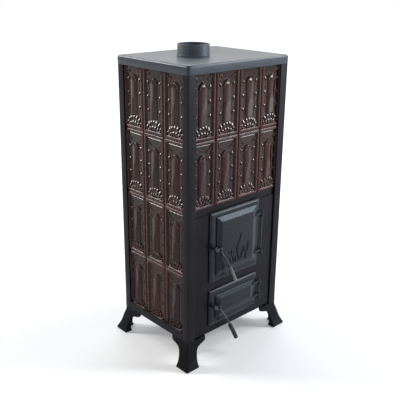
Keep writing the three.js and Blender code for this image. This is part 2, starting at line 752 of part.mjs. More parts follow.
function bafflePlate() {
  const reach = LINING_HALF_W - LINING.wall + BAFFLE.groove - GAP;
  const front = LINING_FRONT + LINING.wall + BAFFLE.smokeGap;
  const rear = LINING_REAR - LINING.wall - GAP;
  return block([-reach, reach], [front, rear], [BAFFLE_BOTTOM, BAFFLE_BOTTOM + BAFFLE.thick]);
}

// An open tray that slides through the ash mouth, with a turned-out rim.
function ashPan() {
  const [left, right, , mouthTop] = ASH_MOUTH;
  const outer = [left + PAN.sideGap, right - PAN.sideGap];
  const front = PANEL_BACK + PAN.behindPanel;
  const floor = FLOOR_TOP + GAP;
  const rimTop = mouthTop - PAN.topGap;
  const level = (in_, z) => [
    [outer[0] + in_, front + in_, z],
    [outer[1] - in_, front + in_, z],
    [outer[1] - in_, front + PAN.length - in_, z],
    [outer[0] + in_, front + PAN.length - in_, z],
  ];
  return loft([
    level(PAN.rim + PAN.wall, floor + PAN.wall),
    level(PAN.rim + PAN.wall, rimTop),
    level(0, rimTop),
    level(0, rimTop - PAN.wall),
    level(PAN.rim, rimTop - PAN.wall),
    level(PAN.rim, floor),
  ], 2);
}

// ---------------------------------------------------------------- legs

// A cast cabriole leg under the body's corner (signX, signY): two wings that meet at the
// corner, curve down to an ankle and end in a flared square foot. The leg's top hangs a gap
// below the body, and this gap fades out down to the sole, which stays on the floor.
function leg(signX, signY) {
  const at = (inX, inY, below) => {
    const clearance = GAP * (1 - below / LEG.height);
    return [signX * (HALF_W - inX), signY * (HALF_D - inY), -below - clearance];
  };
  const wings = loft(LEG.wings.map(([below, flare, reach, thick]) => [
    at(-flare, -flare, below),
    at(reach, -flare, below),
    at(reach, thick - flare, below),
    at(thick - flare, thick - flare, below),
    at(thick - flare, reach, below),
    at(-flare, reach, below),
  ]), 2);
  const foot = loft(LEG.foot.map(([below, flare, reach]) => [
    at(-flare, -flare, below),
    at(reach, -flare, below),
    at(reach, reach, below),
    at(-flare, reach, below),
  ]), 2);
  const plateRing = (below) => [
    at(0, 0, below),
    at(LEG.topPlate, 0, below),
    at(LEG.topPlate, LEG.topPlateCorner, below),
    at(LEG.topPlateCorner, LEG.topPlate, below),
    at(0, LEG.topPlate, below),
  ];
  return fuse([wings, foot, loft([plateRing(0), plateRing(LEG.topPlateThick)], 2)]);
}

// ---------------------------------------------------------------- assembly

const stove = new THREE.Group();
const body = new THREE.Group();
body.position.set(0, BODY_SHIFT, LEG.height);
stove.add(body);

function add(name, geometry, material, parent = body) {
  const mesh = new THREE.Mesh(geometry, material);
  mesh.name = name;
  parent.add(mesh);
  return mesh;
}

// Rows are counted from the top, columns from the left as seen from outside.
function addTiles(side, columns, pitch, rowCount, turn, place) {
  const field = new THREE.Group();
  field.rotation.z = turn;
  field.position.set(...place);
  body.add(field);
  const shape = tile(pitch - TILE.joint, ROW_PITCH - TILE.joint);
  for (let row = 0; row < rowCount; row += 1) {
    for (let column = 0; column < columns; column += 1) {
      const mesh = add(`tile_${side}_r${row + 1}_c${column + 1}`, shape, FINISH.glaze(), field);
      const x = (column - (columns - 1) / 2) * pitch;
      mesh.position.set(x, 0, FIELD_TOP - (row + 1) * ROW_PITCH);
    }
  }
}

const crestX = HALF_W - BEHIND_FLANGE;
addTiles('front', FIELD.frontColumns, FRONT_PITCH, ROWS.front, 0, [0, FRONT_Y + BEHIND_FLANGE, 0]);
addTiles('left', FIELD.sideColumns, SIDE_PITCH, ROWS.total, -Math.PI / 2, [-crestX, 0, 0]);
addTiles('right', FIELD.sideColumns, SIDE_PITCH, ROWS.total, Math.PI / 2, [crestX, 0, 0]);

const CORNERS = {
  front_left: [-1, -1],
  front_right: [1, -1],
  rear_left: [-1, 1],
  rear_right: [1, 1],
};
Object.entries(CORNERS).forEach(([corner, [signX, signY]]) => {
  const faceLeg = signY < 0 ? POST.frontLeg : POST.rearLeg;
  add(`post_${corner}`, post(signX, signY, faceLeg), FINISH.frame());
  add(`leg_${corner}`, leg(signX, signY), FINISH.casting());
});

add('base_frame', baseFrame(), FINISH.frame());
add('top_plate', topPlate(), FINISH.top());
add('flue_collar', flueCollar(), FINISH.top());
add('mid_rail', midRail(), FINISH.frame());
add('front_panel', frontPanel(), FINISH.frame());
add('back_panel', backPanel(), FINISH.frame());

add('fire_door_frame', doorFrame(FIRE_FRAME, FIRE_MOUTH, FIRE_LEAF, FIRE_HINGES, FIRE_LATCH),
  FINISH.casting());
add('ash_door_frame', doorFrame(ASH_FRAME, ASH_MOUTH, ASH_LEAF, ASH_HINGES, ASH_LATCH),
  FINISH.casting());
add('fire_door', door(FIRE_LEAF, FIRE_HINGES, FIRE_LATCH), FINISH.casting());
add('ash_door', door(ASH_LEAF, ASH_HINGES, ASH_LATCH), FINISH.casting());
add('fire_hinge_pin', hingePin(FIRE_LEAF, FIRE_HINGES), FINISH.darkSteel());
add('ash_hinge_pin', hingePin(ASH_LEAF, ASH_HINGES), FINISH.darkSteel());
add('fire_latch', latchLever(FIRE_LEAF, FIRE_LATCH), FINISH.darkSteel());
add('ash_latch', latchLever(ASH_LEAF, ASH_LATCH), FINISH.darkSteel());
add('fire_latch_grip', latchGrip(FIRE_LEAF, FIRE_LATCH), FINISH.steel());
add('ash_latch_grip', latchGrip(ASH_LEAF, ASH_LATCH), FINISH.darkSteel());

add('firebrick_lining', lining(), FINISH.firebrick());
add('grate', grate(), FINISH.casting());
add('baffle_plate', bafflePlate(), FINISH.casting());
add('ash_pan', ashPan(), FINISH.zinc());

export default stove;
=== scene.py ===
"""Tiled solid-fuel stove: glazed relief tiles in a steel corner frame, cast doors and legs.

Lengths in the shape functions are millimetres in the stove's own frame: +Z up, doors to -Y,
the floor at z = 0. They become metres where a mesh is made.
"""

import math

import bmesh
import bpy
import numpy as np
from mathutils import Matrix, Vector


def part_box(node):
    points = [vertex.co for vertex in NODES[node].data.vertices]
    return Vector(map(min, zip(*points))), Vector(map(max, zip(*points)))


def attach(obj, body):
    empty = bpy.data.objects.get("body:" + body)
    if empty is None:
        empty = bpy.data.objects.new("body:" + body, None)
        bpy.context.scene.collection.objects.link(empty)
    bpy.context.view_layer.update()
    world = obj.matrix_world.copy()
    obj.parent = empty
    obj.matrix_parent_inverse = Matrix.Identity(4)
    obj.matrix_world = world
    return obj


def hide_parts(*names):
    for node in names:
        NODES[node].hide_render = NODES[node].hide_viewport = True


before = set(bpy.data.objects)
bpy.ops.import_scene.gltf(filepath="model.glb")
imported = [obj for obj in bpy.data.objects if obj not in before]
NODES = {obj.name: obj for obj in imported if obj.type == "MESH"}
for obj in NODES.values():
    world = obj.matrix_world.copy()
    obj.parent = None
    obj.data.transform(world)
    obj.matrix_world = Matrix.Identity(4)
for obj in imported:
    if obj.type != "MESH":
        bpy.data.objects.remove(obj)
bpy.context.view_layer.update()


MM = 0.001


def node_box(name):
    """Lowest and highest corner of a frame node, in millimetres."""
    low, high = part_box(name)
    return np.array(low) / MM, np.array(high) / MM


# ------------------------------------------------------------------ mesh helpers


def smoothstep(low, high, value):
    """0 below low, 1 above high, and 3t^2 - 2t^3 between them."""
    t = np.clip((value - low) / (high - low), 0, 1)
    return t * t * (3 - 2 * t)


def bell(value, middle, width):
    """A Gaussian bump of height 1: e to the power of -((value - middle) / width)^2."""
    return np.exp(-(((value - middle) / width) ** 2))


def soften(points, radius, steps, closed=True):
    """Rounds every corner of a polyline that runs along the first axis.

    Between points one radius before (A) and after (B) a corner P it follows the parabola
    (1-t)^2 A + 2t(1-t) P + t^2 B, so the corner keeps its two straight sides.
    """

    def toward(other):
        way = other - points
        length = np.linalg.norm(way, axis=-1, keepdims=True)
        return points + way / np.maximum(length, 1e-9) * np.minimum(radius, 0.48 * length)

    before, after = toward(np.roll(points, 1, 0)), toward(np.roll(points, -1, 0))
    t = np.linspace(0, 1, steps).reshape((1, steps) + (1,) * (points.ndim - 1))
    curve = (1 - t) ** 2 * before[:, None] + 2 * t * (1 - t) * points[:, None]
    curve = curve + t**2 * after[:, None]
    if closed:
        return curve.reshape((-1,) + points.shape[1:])
    inner = curve[1:-1].reshape((-1,) + points.shape[1:])
    return np.concatenate([points[:1], inner, points[-1:]])


def shrink(outline, by):
    """Moves each side of a closed 2-D outline inwards by the same distance.

    A corner moves along the sum of its two side normals, divided by 1 + their dot product.
    """
    edge = np.roll(outline, -1, 0) - outline
    edge = edge / np.maximum(np.linalg.norm(edge, axis=1, keepdims=True), 1e-9)
    x, y = outline.T
    turn = np.sign(np.sum(x * np.roll(y, -1) - np.roll(x, -1) * y))
    normal = np.stack([-edge[:, 1], edge[:, 0]], 1) * turn
    last = np.roll(normal, 1, 0)
    lean = 1 + np.sum(normal * last, 1, keepdims=True)
    return outline + by * (normal + last) / np.maximum(lean, 0.2)


def skin(rings, along=False, caps=True):
    """A surface over closed rings of points: rings[i, j] is point j of ring i.

    along joins the last ring to the first, and caps closes the two end rings with flat
    faces. Returns (points, quads, caps).
    """
    count, sides = rings.shape[:2]
    i = np.arange(count if along else count - 1)[:, None]
    j = np.arange(sides)[None, :]
    i2, j2 = (i + 1) % count, (j + 1) % sides
    quads = np.stack([i * sides + j, i * sides + j2, i2 * sides + j2, i2 * sides + j], -1)
    ends = []
    if caps and not along:
        ends = [np.arange(sides)[::-1], np.arange(sides) + (count - 1) * sides]
    return outward((rings.reshape(-1, 3), quads.reshape(-1, 4), ends))


def outward(shell):
    """Turns a closed shell's faces round when it encloses a negative volume."""
    points, quads, caps = shell
    a, b, c, d = (points[quads[:, k]] for k in range(4))
    volume = np.sum(a * np.cross(b, c)) + np.sum(a * np.cross(c, d))
    for cap in caps:
        p = points[cap]
        volume += np.sum(p[0] * np.cross(p[1:-1], p[2:]))
    if volume < 0:
        return points, quads[:, ::-1], [cap[::-1] for cap in caps]
    return shell


def joined(shells):
    """Several shells as one: points follow each other and face numbers shift to match."""
    offsets = np.cumsum([0] + [len(shell[0]) for shell in shells[:-1]])
    points = np.concatenate([shell[0] for shell in shells])
    quads = np.concatenate([shell[1] + off for shell, off in zip(shells, offsets)])
    caps = [cap + off for shell, off in zip(shells, offsets) for cap in shell[2]]
    return points, quads, caps


def new_object(name, data):
    """An object that holds the data, added to the scene at the origin."""
    thing = bpy.data.objects.new(name, data)
    bpy.context.scene.collection.objects.link(thing)
    return thing


def piece(name, shells, material, body, replaces, sharp=32, facts=None):
    """Makes the shells one object at the origin, in metres, and seats it in the frame.

    It rides body and takes the place of the nodes in replaces. Edges that turn by more than
    sharp degrees stay sharp. facts are numbers per point that the material reads.
    """
    points, quads, caps = joined(shells)
    counts = np.array([4] * len(quads) + [len(cap) for cap in caps], np.int32)
    corners = np.concatenate([quads.ravel(), *caps]).astype(np.int32)
    starts = np.concatenate([[0], np.cumsum(counts)[:-1]]).astype(np.int32)
    mesh = bpy.data.meshes.new(name)
    mesh.vertices.add(len(points))
    mesh.vertices.foreach_set("co", (points * MM).astype(np.float32).ravel())
    mesh.loops.add(len(corners))
    mesh.loops.foreach_set("vertex_index", corners)
    mesh.polygons.add(len(counts))
    mesh.polygons.foreach_set("loop_start", starts)
    mesh.polygons.foreach_set("use_smooth", np.ones(len(counts), bool))
    mesh.update(calc_edges=True)
    mesh.validate()
    mesh.set_sharp_from_angle(angle=math.radians(sharp))
    for key, values in (facts or {}).items():
        layer = mesh.attributes.new(key, "FLOAT", "POINT")
        layer.data.foreach_set("value", np.asarray(values, np.float32))
    mesh.materials.append(material)
    thing = new_object(name, mesh)
    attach(thing, body)
    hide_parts(*replaces)
    return thing


def rect(left, right, bottom, top):
    return np.array([[left, bottom], [right, bottom], [right, top], [left, top]], float)


def in_plane(outline, axis, place):
    """Puts 2-D points into space at one place along an axis: 0 = x, 1 = y, 2 = z."""
    return np.insert(np.asarray(outline, float), axis, place, axis=1)


def bar(outline, axis, low, high, corner, edge, steps=4):
    """A straight bar: a 2-D outline with rounded corners, carried from low to high.

    Both ends close with a rounded edge: a ring drawn in by one edge width, then the full
    outline, all softened along the bar.
    """
    outline = soften(np.asarray(outline, float), corner, steps)
    small = shrink(outline, edge)
    places = [(small, low), (outline, low), (outline, high), (small, high)]
    rings = np.stack([in_plane(shape, axis, place) for shape, place in places])
    return skin(soften(rings, edge, 3, closed=False))


def box_of(x, y, z, corner, edge):
    """A block with rounded edges, from its x, y and z spans."""
    return bar(rect(*x, *y), 2, z[0], z[1], corner, edge)


def turned(profile, centre, axis, sides, closed, edge=0.0, steps=4):
    """A profile of (radius, height) turned round an axis through centre.

    Point (r, h) sweeps the circle r (cos a, sin a) at height h. A closed profile makes a
    ring, and an open one is capped at both ends.
    """
    profile = np.asarray(profile, float)
    if edge:
        profile = soften(profile, edge, steps, closed)
    angle = np.linspace(0, 2 * np.pi, sides, endpoint=False)
    r, h = profile[:, :1], profile[:, 1:]
    flat = [r * np.cos(angle), r * np.sin(angle)]
    flat.insert(axis, h + 0 * angle)
    rings = np.stack(flat, -1) + np.asarray(centre, float)
    return skin(rings, along=closed, caps=not closed)


def spline(knots, count):
    """A smooth path through knots: each span is a cubic whose end slopes are the means of
    the neighbouring spans (a Catmull-Rom curve), sampled count times in all."""
    knots = np.asarray(knots, float)
    slope = np.gradient(knots, axis=0)
    t = np.linspace(0, len(knots) - 1, count)
    i = np.minimum(t.astype(int), len(knots) - 2)
    u = (t - i)[:, None]
    h00, h10 = 2 * u**3 - 3 * u**2 + 1, u**3 - 2 * u**2 + u
    h01, h11 = -2 * u**3 + 3 * u**2, u**3 - u**2
    return h00 * knots[i] + h10 * slope[i] + h01 * knots[i + 1] + h11 * slope[i + 1]


ROD_SIDES = 20


def rod(path, radius):
    """A round rod along a path that stays in one plane of constant x: each section is a
    circle spanned by the x axis and the path's normal in that plane."""
    path = np.asarray(path, float)
    tangent = np.gradient(path, axis=0)
    tangent /= np.linalg.norm(tangent, axis=1, keepdims=True)
    across = np.array([1.0, 0, 0]) + 0 * tangent
    normal = np.cross(tangent, across)
    angle = np.linspace(0, 2 * np.pi, ROD_SIDES, endpoint=False)[None, :, None]
    radius = np.reshape(radius, (-1, 1, 1))
    around = np.cos(angle) * across[:, None] + np.sin(angle) * normal[:, None]
    return skin(path[:, None] + radius * around)


def relief_slab(xs, zs, front, back):
    """A slab in the XZ plane: its front is the surface y = front(x, z) over a grid, its
    sides drop straight to the plane y = back, and one flat face closes the back."""
    x, z = np.meshgrid(xs, zs, indexing="ij")
    top = np.stack([x, front(x, z), z], -1)
    rows, cols = x.shape
    number = np.arange(rows * cols).reshape(rows, cols)
    quads = np.stack([number[:-1, :-1], number[1:, :-1], number[1:, 1:], number[:-1, 1:]], -1)
    rim = np.concatenate([number[:, 0], number[-1, 1:], number[-2::-1, -1], number[0, -2:0:-1]])
    base = rows * cols + np.arange(len(rim))
    points = top.reshape(-1, 3)
    wall = points[rim].copy()
    wall[:, 1] = back
    sides = np.stack([rim, base, np.roll(base, -1), np.roll(rim, -1)], -1)
    faces = np.concatenate([quads.reshape(-1, 4), sides])
    return outward((np.concatenate([points, wall]), faces, [base]))


def spread(low, high, edge, fine, coarse):
    """Grid lines from low to high: fine steps within edge of both ends, coarse between."""
    ends = max(2, round(edge / fine))
    middle = max(2, round((high - low - 2 * edge) / coarse))
    parts = [
        np.linspace(low, low + edge, ends, endpoint=False),
        np.linspace(low + edge, high - edge, middle, endpoint=False),
        np.linspace(high - edge, high, ends + 1),
    ]
    return np.concatenate(parts)


# ------------------------------------------------------------------ shader groups


def shader_group(name, inputs, outputs):
    """An empty node group with named sockets. inputs gives each its default, where None makes
    a vector, a number a float and a tuple a colour. outputs gives each its kind."""
    group = bpy.data.node_groups.new(name, "ShaderNodeTree")
    for title, default in inputs.items():
        kind = {type(None): "Vector", float: "Float", tuple: "Color"}[type(default)]
        socket = group.interface.new_socket(title, in_out="INPUT", socket_type=f"NodeSocket{kind}")
        if default is not None:
            socket.default_value = default
    for title, kind in outputs.items():
        group.interface.new_socket(title, in_out="OUTPUT", socket_type=f"NodeSocket{kind}")
    source, result = group.nodes.new("NodeGroupInput"), group.nodes.new("NodeGroupOutput")
    return group, source.outputs, result.inputs


def wire(tree, kind, links=None, **settings):
    """Adds a node, sets its properties, then fills its sockets from links, where a value is
    either another node's output or a plain number or colour."""
    node = tree.nodes.new(kind)
    for key, value in settings.items():
        setattr(node, key, value)
    for socket, value in (links or {}).items():
        target = node.inputs[socket]
        if isinstance(value, bpy.types.NodeSocket):
            tree.links.new(value, target)
        else:
            target.default_value = value
    return node


def send(tree, result, **values):
    """Links each value to the group's output of that name, and gives the group back."""
    for title, value in values.items():
        tree.links.new(value, result[title])
    return tree


def math_node(tree, operation, a, b, c=0.0, clamp=False):
    """One sum on up to three numbers or outputs. Only MULTIPLY_ADD reads c."""
    node = wire(tree, "ShaderNodeMath", {0: a, 1: b, 2: c}, operation=operation, use_clamp=clamp)
    return node.outputs[0]


def plus(tree, a, b, clamp=False):
    return math_node(tree, "ADD", a, b, clamp=clamp)


def times(tree, a, b, clamp=False):
    return math_node(tree, "MULTIPLY", a, b, clamp=clamp)


def noise(tree, vector, scale, detail, rough=0.55):
    links = {"Vector": vector, "Scale": scale, "Detail": detail, "Roughness": rough}
    return wire(tree, "ShaderNodeTexNoise", links).outputs["Fac"]


def mix_colour(tree, factor, a, b):
    links = {0: factor, 6: a, 7: b}
    return wire(tree, "ShaderNodeMix", links, data_type="RGBA", clamp_factor=True).outputs[2]


def between(tree, value, low, high, out_low=0.0, out_high=1.0):
    """Takes low to out_low and high to out_high, by a smooth step."""
    links = {"Value": value, "From Min": low, "From Max": high, "To Min": out_low}
    links["To Max"] = out_high
    return wire(tree, "ShaderNodeMapRange", links, interpolation_type="SMOOTHSTEP").outputs[0]


def make_grain_group():
    """Sand-cast or sprayed skin: coarse lumps plus fine grit, and a slow patchy shade."""
    inputs = {"Vector": None, "Lumps": 60.0, "Grit": 700.0, "Grit share": 0.5}
    outputs = {"Height": "Float", "Patches": "Float"}
    tree, given, result = shader_group("skin_grain", inputs, outputs)
    lumps = noise(tree, given["Vector"], given["Lumps"], 2.0)
    grit = noise(tree, given["Vector"], given["Grit"], 2.0, 0.6)
    coarse = times(tree, lumps, math_node(tree, "SUBTRACT", 1.0, given["Grit share"]))
    height = plus(tree, coarse, times(tree, grit, given["Grit share"]))
    patches = between(tree, noise(tree, given["Vector"], 6.5, 4.0, 0.6), 0.32, 0.7)
    return send(tree, result, Height=height, Patches=patches)


def make_dust_group():
    """Fine dust: it lies where the surface faces up, broken into soft patches."""
    inputs = {"Vector": None, "Normal": None, "Amount": 0.3}
    tree, given, result = shader_group("dust_fall", inputs, {"Mask": "Float"})
    parts = wire(tree, "ShaderNodeSeparateXYZ", {0: given["Normal"]})
    facing = between(tree, parts.outputs["Z"], 0.35, 0.95)
    patches = between(tree, noise(tree, given["Vector"], 14.0, 5.0, 0.65), 0.35, 0.75)
    mask = times(tree, times(tree, facing, patches), given["Amount"], True)
    return send(tree, result, Mask=mask)


def make_rub_group():
    """Handling: a share of the surface, in upright streaks and specks, is rubbed paler."""
    inputs = {"Vector": None, "Scale": 40.0, "Amount": 0.3}
    tree, given, result = shader_group("hand_rub", inputs, {"Mask": "Float"})
    stretch = {"Vector": given["Vector"], "Scale": (1.0, 1.0, 0.25)}
    streak = wire(tree, "ShaderNodeMapping", stretch).outputs[0]
    rubbed = noise(tree, streak, given["Scale"], 5.0, 0.7)
    mask = times(tree, between(tree, rubbed, 0.48, 0.72), given["Amount"])
    return send(tree, result, Mask=mask)


# How far the glaze breaks to its body on crests, and how much duller a tile's rim is.
BARE_SHARE, RIM_DULL = 0.35, 0.16


def make_glaze_group():
    """Transparent glaze over a relief: it runs off the crests, which show the warm body,
    and pools dark in the hollows. Relief is 0 in the hollows and 1 on the heights, and Crest
    is 1 on sharp edges, where the glaze breaks to its paler body. Rim is 1 on the border,
    where the glaze is duller, and Tone tells one tile's firing from the next."""
    inputs = {
        "Vector": None,
        "Relief": 0.5,
        "Crest": 0.0,
        "Rim": 0.0,
        "Tone": 0.5,
        "Pool": (0.013, 0.0028, 0.0032, 1),
        "Body": (0.027, 0.0032, 0.0032, 1),
        "Thin": (0.082, 0.018, 0.011, 1),
        "Bare": (0.20, 0.11, 0.085, 1),
    }
    outputs = {"Colour": "Color", "Roughness": "Float", "Height": "Float"}
    tree, given, result = shader_group("glaze_flow", inputs, outputs)
    drift = noise(tree, given["Vector"], 22.0, 4.0, 0.6)
    level = plus(tree, given["Relief"], times(tree, drift, 0.5))
    level = math_node(tree, "SUBTRACT", level, 0.25)
    colour = mix_colour(tree, between(tree, level, 0.25, 0.95), given["Pool"], given["Body"])
    colour = mix_colour(tree, between(tree, level, 0.86, 1.30), colour, given["Thin"])
    broken = times(tree, given["Crest"], between(tree, drift, 0.3, 0.62))
    colour = mix_colour(tree, times(tree, broken, BARE_SHARE), colour, given["Bare"])
    speck = between(tree, noise(tree, given["Vector"], 420.0, 1.0), 0.66, 0.74, 0.0, 0.35)
    colour = mix_colour(tree, speck, colour, given["Thin"])
    shade = math_node(tree, "MULTIPLY_ADD", given["Tone"], 0.5, 0.72)
    paler = between(tree, shade, 0.7, 1.25, 0.0, 0.16)
    colour = mix_colour(tree, paler, colour, given["Thin"])
    rough = between(tree, drift, 0.3, 0.8, 0.07, 0.17)
    rough = plus(tree, rough, times(tree, given["Rim"], RIM_DULL))
    height = noise(tree, given["Vector"], 75.0, 2.0, 0.5)
    return send(tree, result, Colour=colour, Roughness=rough, Height=height)


SKIN_GRAIN = make_grain_group()
DUST_FALL = make_dust_group()
HAND_RUB = make_rub_group()
GLAZE_FLOW = make_glaze_group()


def new_material(name):
    """A node material: itself, its tree, its shader and the Object coordinates' output."""
    material = bpy.data.materials.new(name)
    material.use_nodes = True
    tree = material.node_tree
    place = tree.nodes.new("ShaderNodeTexCoord").outputs["Object"]
    return material, tree, tree.nodes["Principled BSDF"], place


def placed(tree, group, links):
    return wire(tree, "ShaderNodeGroup", links, node_tree=group).outputs


def grained(tree, place, lumps, grit, share):
    links = {"Vector": place, "Lumps": lumps, "Grit": grit, "Grit share": share}
    return placed(tree, SKIN_GRAIN, links)


def bumped(tree, shader, height, depth):
    bump = wire(tree, "ShaderNodeBump", {"Height": height, "Distance": depth, "Strength": 1.0})
    tree.links.new(bump.outputs[0], shader.inputs["Normal"])


DUST_COLOUR, DUST_SHARE, DUST_ROUGH = (0.33, 0.31, 0.29, 1), 0.06, 0.35
RUB_SCALE = 38.0
GRAIN_ROUGH = 0.16


def coated_metal(name, dark, light, rough, grain, depth, metal=0.0, rub=0.2, gloss=0.5,
                 tint=(0.82, 0.92, 1.0)):
    """Painted, blackened or bare metal: two shades in patches, grain in the bump, dust on
    what faces up and rubbed streaks. grain holds the scales of lumps and grit and the grit's
    share, and depth is the bump's, in metres."""
    material, tree, shader, place = new_material(name)
    normal = tree.nodes.new("ShaderNodeNewGeometry").outputs["Normal"]
    surface = grained(tree, place, *grain)
    rubbed = placed(tree, HAND_RUB, {"Vector": place, "Scale": RUB_SCALE, "Amount": rub})
    dust = placed(tree, DUST_FALL, {"Vector": place, "Normal": normal, "Amount": DUST_SHARE})
    colour = mix_colour(tree, surface["Patches"], (*dark, 1), (*light, 1))
    pale = tuple(min(1.0, 1.6 * c + 0.006) for c in light)
    colour = mix_colour(tree, rubbed["Mask"], colour, (*pale, 1))
    colour = mix_colour(tree, dust["Mask"], colour, DUST_COLOUR)
    smooth = rough - GRAIN_ROUGH / 2
    level = math_node(tree, "MULTIPLY_ADD", surface["Height"], GRAIN_ROUGH, smooth)
    level = plus(tree, level, times(tree, dust["Mask"], DUST_ROUGH), True)
    tree.links.new(colour, shader.inputs["Base Color"])
    tree.links.new(level, shader.inputs["Roughness"])
    shader.inputs["Metallic"].default_value = metal
    shader.inputs["Specular IOR Level"].default_value = gloss
    shader.inputs["Specular Tint"].default_value = (*tint, 1)
    bumped(tree, shader, surface["Height"], depth)
    return material


def glazed_tile():
    """Deep red-brown glaze: its colour and gloss follow the relief under it."""
    material, tree, shader, place = new_material("oxblood_glaze")
    links = {"Vector": place}
    for fact in ("relief", "tone", "crest", "rim"):
        node = wire(tree, "ShaderNodeAttribute", attribute_name=fact)
        links[fact.capitalize()] = node.outputs["Fac"]
    flow = placed(tree, GLAZE_FLOW, links)
    tree.links.new(flow["Colour"], shader.inputs["Base Color"])
    tree.links.new(flow["Roughness"], shader.inputs["Roughness"])
    shader.inputs["Specular IOR Level"].default_value = 0.18
    bumped(tree, shader, flow["Height"], 0.00022)
    return material


def brickwork():
    """Buff firebricks: courses of 64 mm with staggered 230 mm bricks and pale joints, under
    patches of soot."""
    material, tree, shader, place = new_material("buff_firebrick")
    parts = wire(tree, "ShaderNodeSeparateXYZ", {0: place}).outputs
    run = plus(tree, parts["X"], parts["Y"])
    links = {
        "Vector": wire(tree, "ShaderNodeCombineXYZ", {"X": run, "Y": parts["Z"]}).outputs[0],
        "Color1": (0.46, 0.33, 0.21, 1),
        "Color2": (0.36, 0.25, 0.16, 1),
        "Mortar": (0.27, 0.24, 0.21, 1),
        "Scale": 1.0,
        "Mortar Size": 0.0016,
        "Mortar Smooth": 0.2,
        "Brick Width": 0.230,
        "Row Height": 0.064,
    }
    bricks = wire(tree, "ShaderNodeTexBrick", links).outputs
    grain = grained(tree, place, 90.0, 600.0, 0.55)
    soot = between(tree, noise(tree, place, 5.0, 4.0), 0.3, 0.8, 0.0, 0.75)
    colour = mix_colour(tree, soot, bricks["Color"], (0.07, 0.06, 0.055, 1))
    tree.links.new(colour, shader.inputs["Base Color"])
    shader.inputs["Roughness"].default_value = 0.93
    height = math_node(tree, "MULTIPLY_ADD", bricks["Fac"], -0.8, grain["Height"])
    bumped(tree, shader, height, 0.0012)
    return material


def zinc_sheet():
    """Hot-dip zinc: flat crystals of slightly different grey, with a dull sooty bloom."""
    material, tree, shader, place = new_material("zinc_spangle")
    cells = wire(tree, "ShaderNodeTexVoronoi", {"Vector": place, "Scale": 90.0})
    shade = wire(tree, "ShaderNodeSeparateColor", {0: cells.outputs["Color"]}).outputs[0]
    colour = mix_colour(tree, shade, (0.34, 0.35, 0.37, 1), (0.50, 0.51, 0.53, 1))
    bloom = between(tree, noise(tree, place, 9.0, 4.0), 0.45, 0.75, 0.0, 0.6)
    colour = mix_colour(tree, bloom, colour, (0.12, 0.115, 0.11, 1))
    tree.links.new(colour, shader.inputs["Base Color"])
    tree.links.new(between(tree, shade, 0.0, 1.0, 0.32, 0.5), shader.inputs["Roughness"])
    shader.inputs["Metallic"].default_value = 0.85
    bumped(tree, shader, shade, 0.00005)
    return material


# Scale of lumps, scale of grit, and the grit's share.
CAST = (110.0, 900.0, 0.55)
SPRAYED = (160.0, 1300.0, 0.7)

GLAZE = glazed_tile()
FRAME_PAINT = coated_metal(
    "frame_black", (0.0045, 0.0045, 0.0064), (0.0070, 0.0070, 0.0096), 0.38, SPRAYED, 0.00006,
    rub=0.12, gloss=0.09, tint=(1.0, 0.93, 1.0),
)
TOP_PAINT = coated_metal(
    "top_slate_black", (0.010, 0.012, 0.018), (0.016, 0.020, 0.028), 0.30, SPRAYED, 0.00006,
    rub=0.1, gloss=0.31,
)
COLLAR_PAINT = coated_metal(
    "collar_grey", (0.045, 0.056, 0.072), (0.062, 0.075, 0.094), 0.46, SPRAYED, 0.00006, rub=0.3
)
DOOR_IRON = coated_metal(
    "door_iron_black", (0.0045, 0.0058, 0.0088), (0.0075, 0.0092, 0.0132), 0.29, CAST, 0.000012,
    gloss=0.20,
)
LEG_IRON = coated_metal(
    "leg_iron_black", (0.0032, 0.0034, 0.0050), (0.0058, 0.0061, 0.0080), 0.42, CAST, 0.00020,
    gloss=0.06, tint=(1.0, 0.94, 1.0),
)
RAW_IRON = coated_metal(
    "burnt_iron", (0.035, 0.030, 0.028), (0.075, 0.060, 0.050), 0.62, CAST, 0.0004, metal=0.3
)
LATCH_STEEL = coated_metal(
    "latch_steel", (0.020, 0.020, 0.022), (0.042, 0.042, 0.044), 0.36, CAST, 0.00006,
    metal=0.5, rub=0.5,
)
GRIP_STEEL = coated_metal(
    "grip_bright_steel", (0.085, 0.083, 0.082), (0.13, 0.127, 0.123), 0.42, SPRAYED, 0.00003,
    metal=0.9, rub=0.4,
)
DARK_GRIP_STEEL = coated_metal(
    "grip_dark_steel", (0.008, 0.008, 0.011), (0.016, 0.016, 0.020), 0.38, SPRAYED, 0.00003,
    metal=0.2, rub=0.3, gloss=0.3,
)
FIREBRICK = brickwork()
ZINC = zinc_sheet()


def refinish(name, material):
    """Gives a frame node that stays in view its own finish."""
    slots = NODES[name].data.materials
    slots.clear()
    slots.append(material)


# ------------------------------------------------------------------ tiles

TILE_BORDER, TILE_FLAT, TILE_COVE = 7.0, 4.0, 5.0
TILE_CREST, TILE_THICK, EDGE_DROP = 6.5, 16.0, 0.5
# How softly a tile's edges meet at its corners, and the bead inside its border.
CORNER_BLEND, BEAD_PLACE, BEAD_WIDTH = 1.6, 17.6, 0.95
COLUMN_HALF, COLUMN_TOP = 20.0, 196.0
TIP_SLOPE = 0.58

# Buds beside the column at each level: distance from the tile's middle, drop below the
# level, tilt, half length, half width, height. All ornaments also stand mirrored.
BUD_LEVELS = (82.0, 130.0, 178.0)
BUDS = [(30.5, 0.0, 1.0, 8.0, 4.4, 4.6), (26.5, 9.0, -0.7, 4.8, 2.6, 2.8)]

# Leaves over the column: root, angle from upright, length, half width, height.
CROWN_LEAVES = [((17.0, 200.0), 0.95, 24.0, 3.6, 3.4), ((37.0, 200.0), -0.12, 24.0, 3.4, 3.2)]

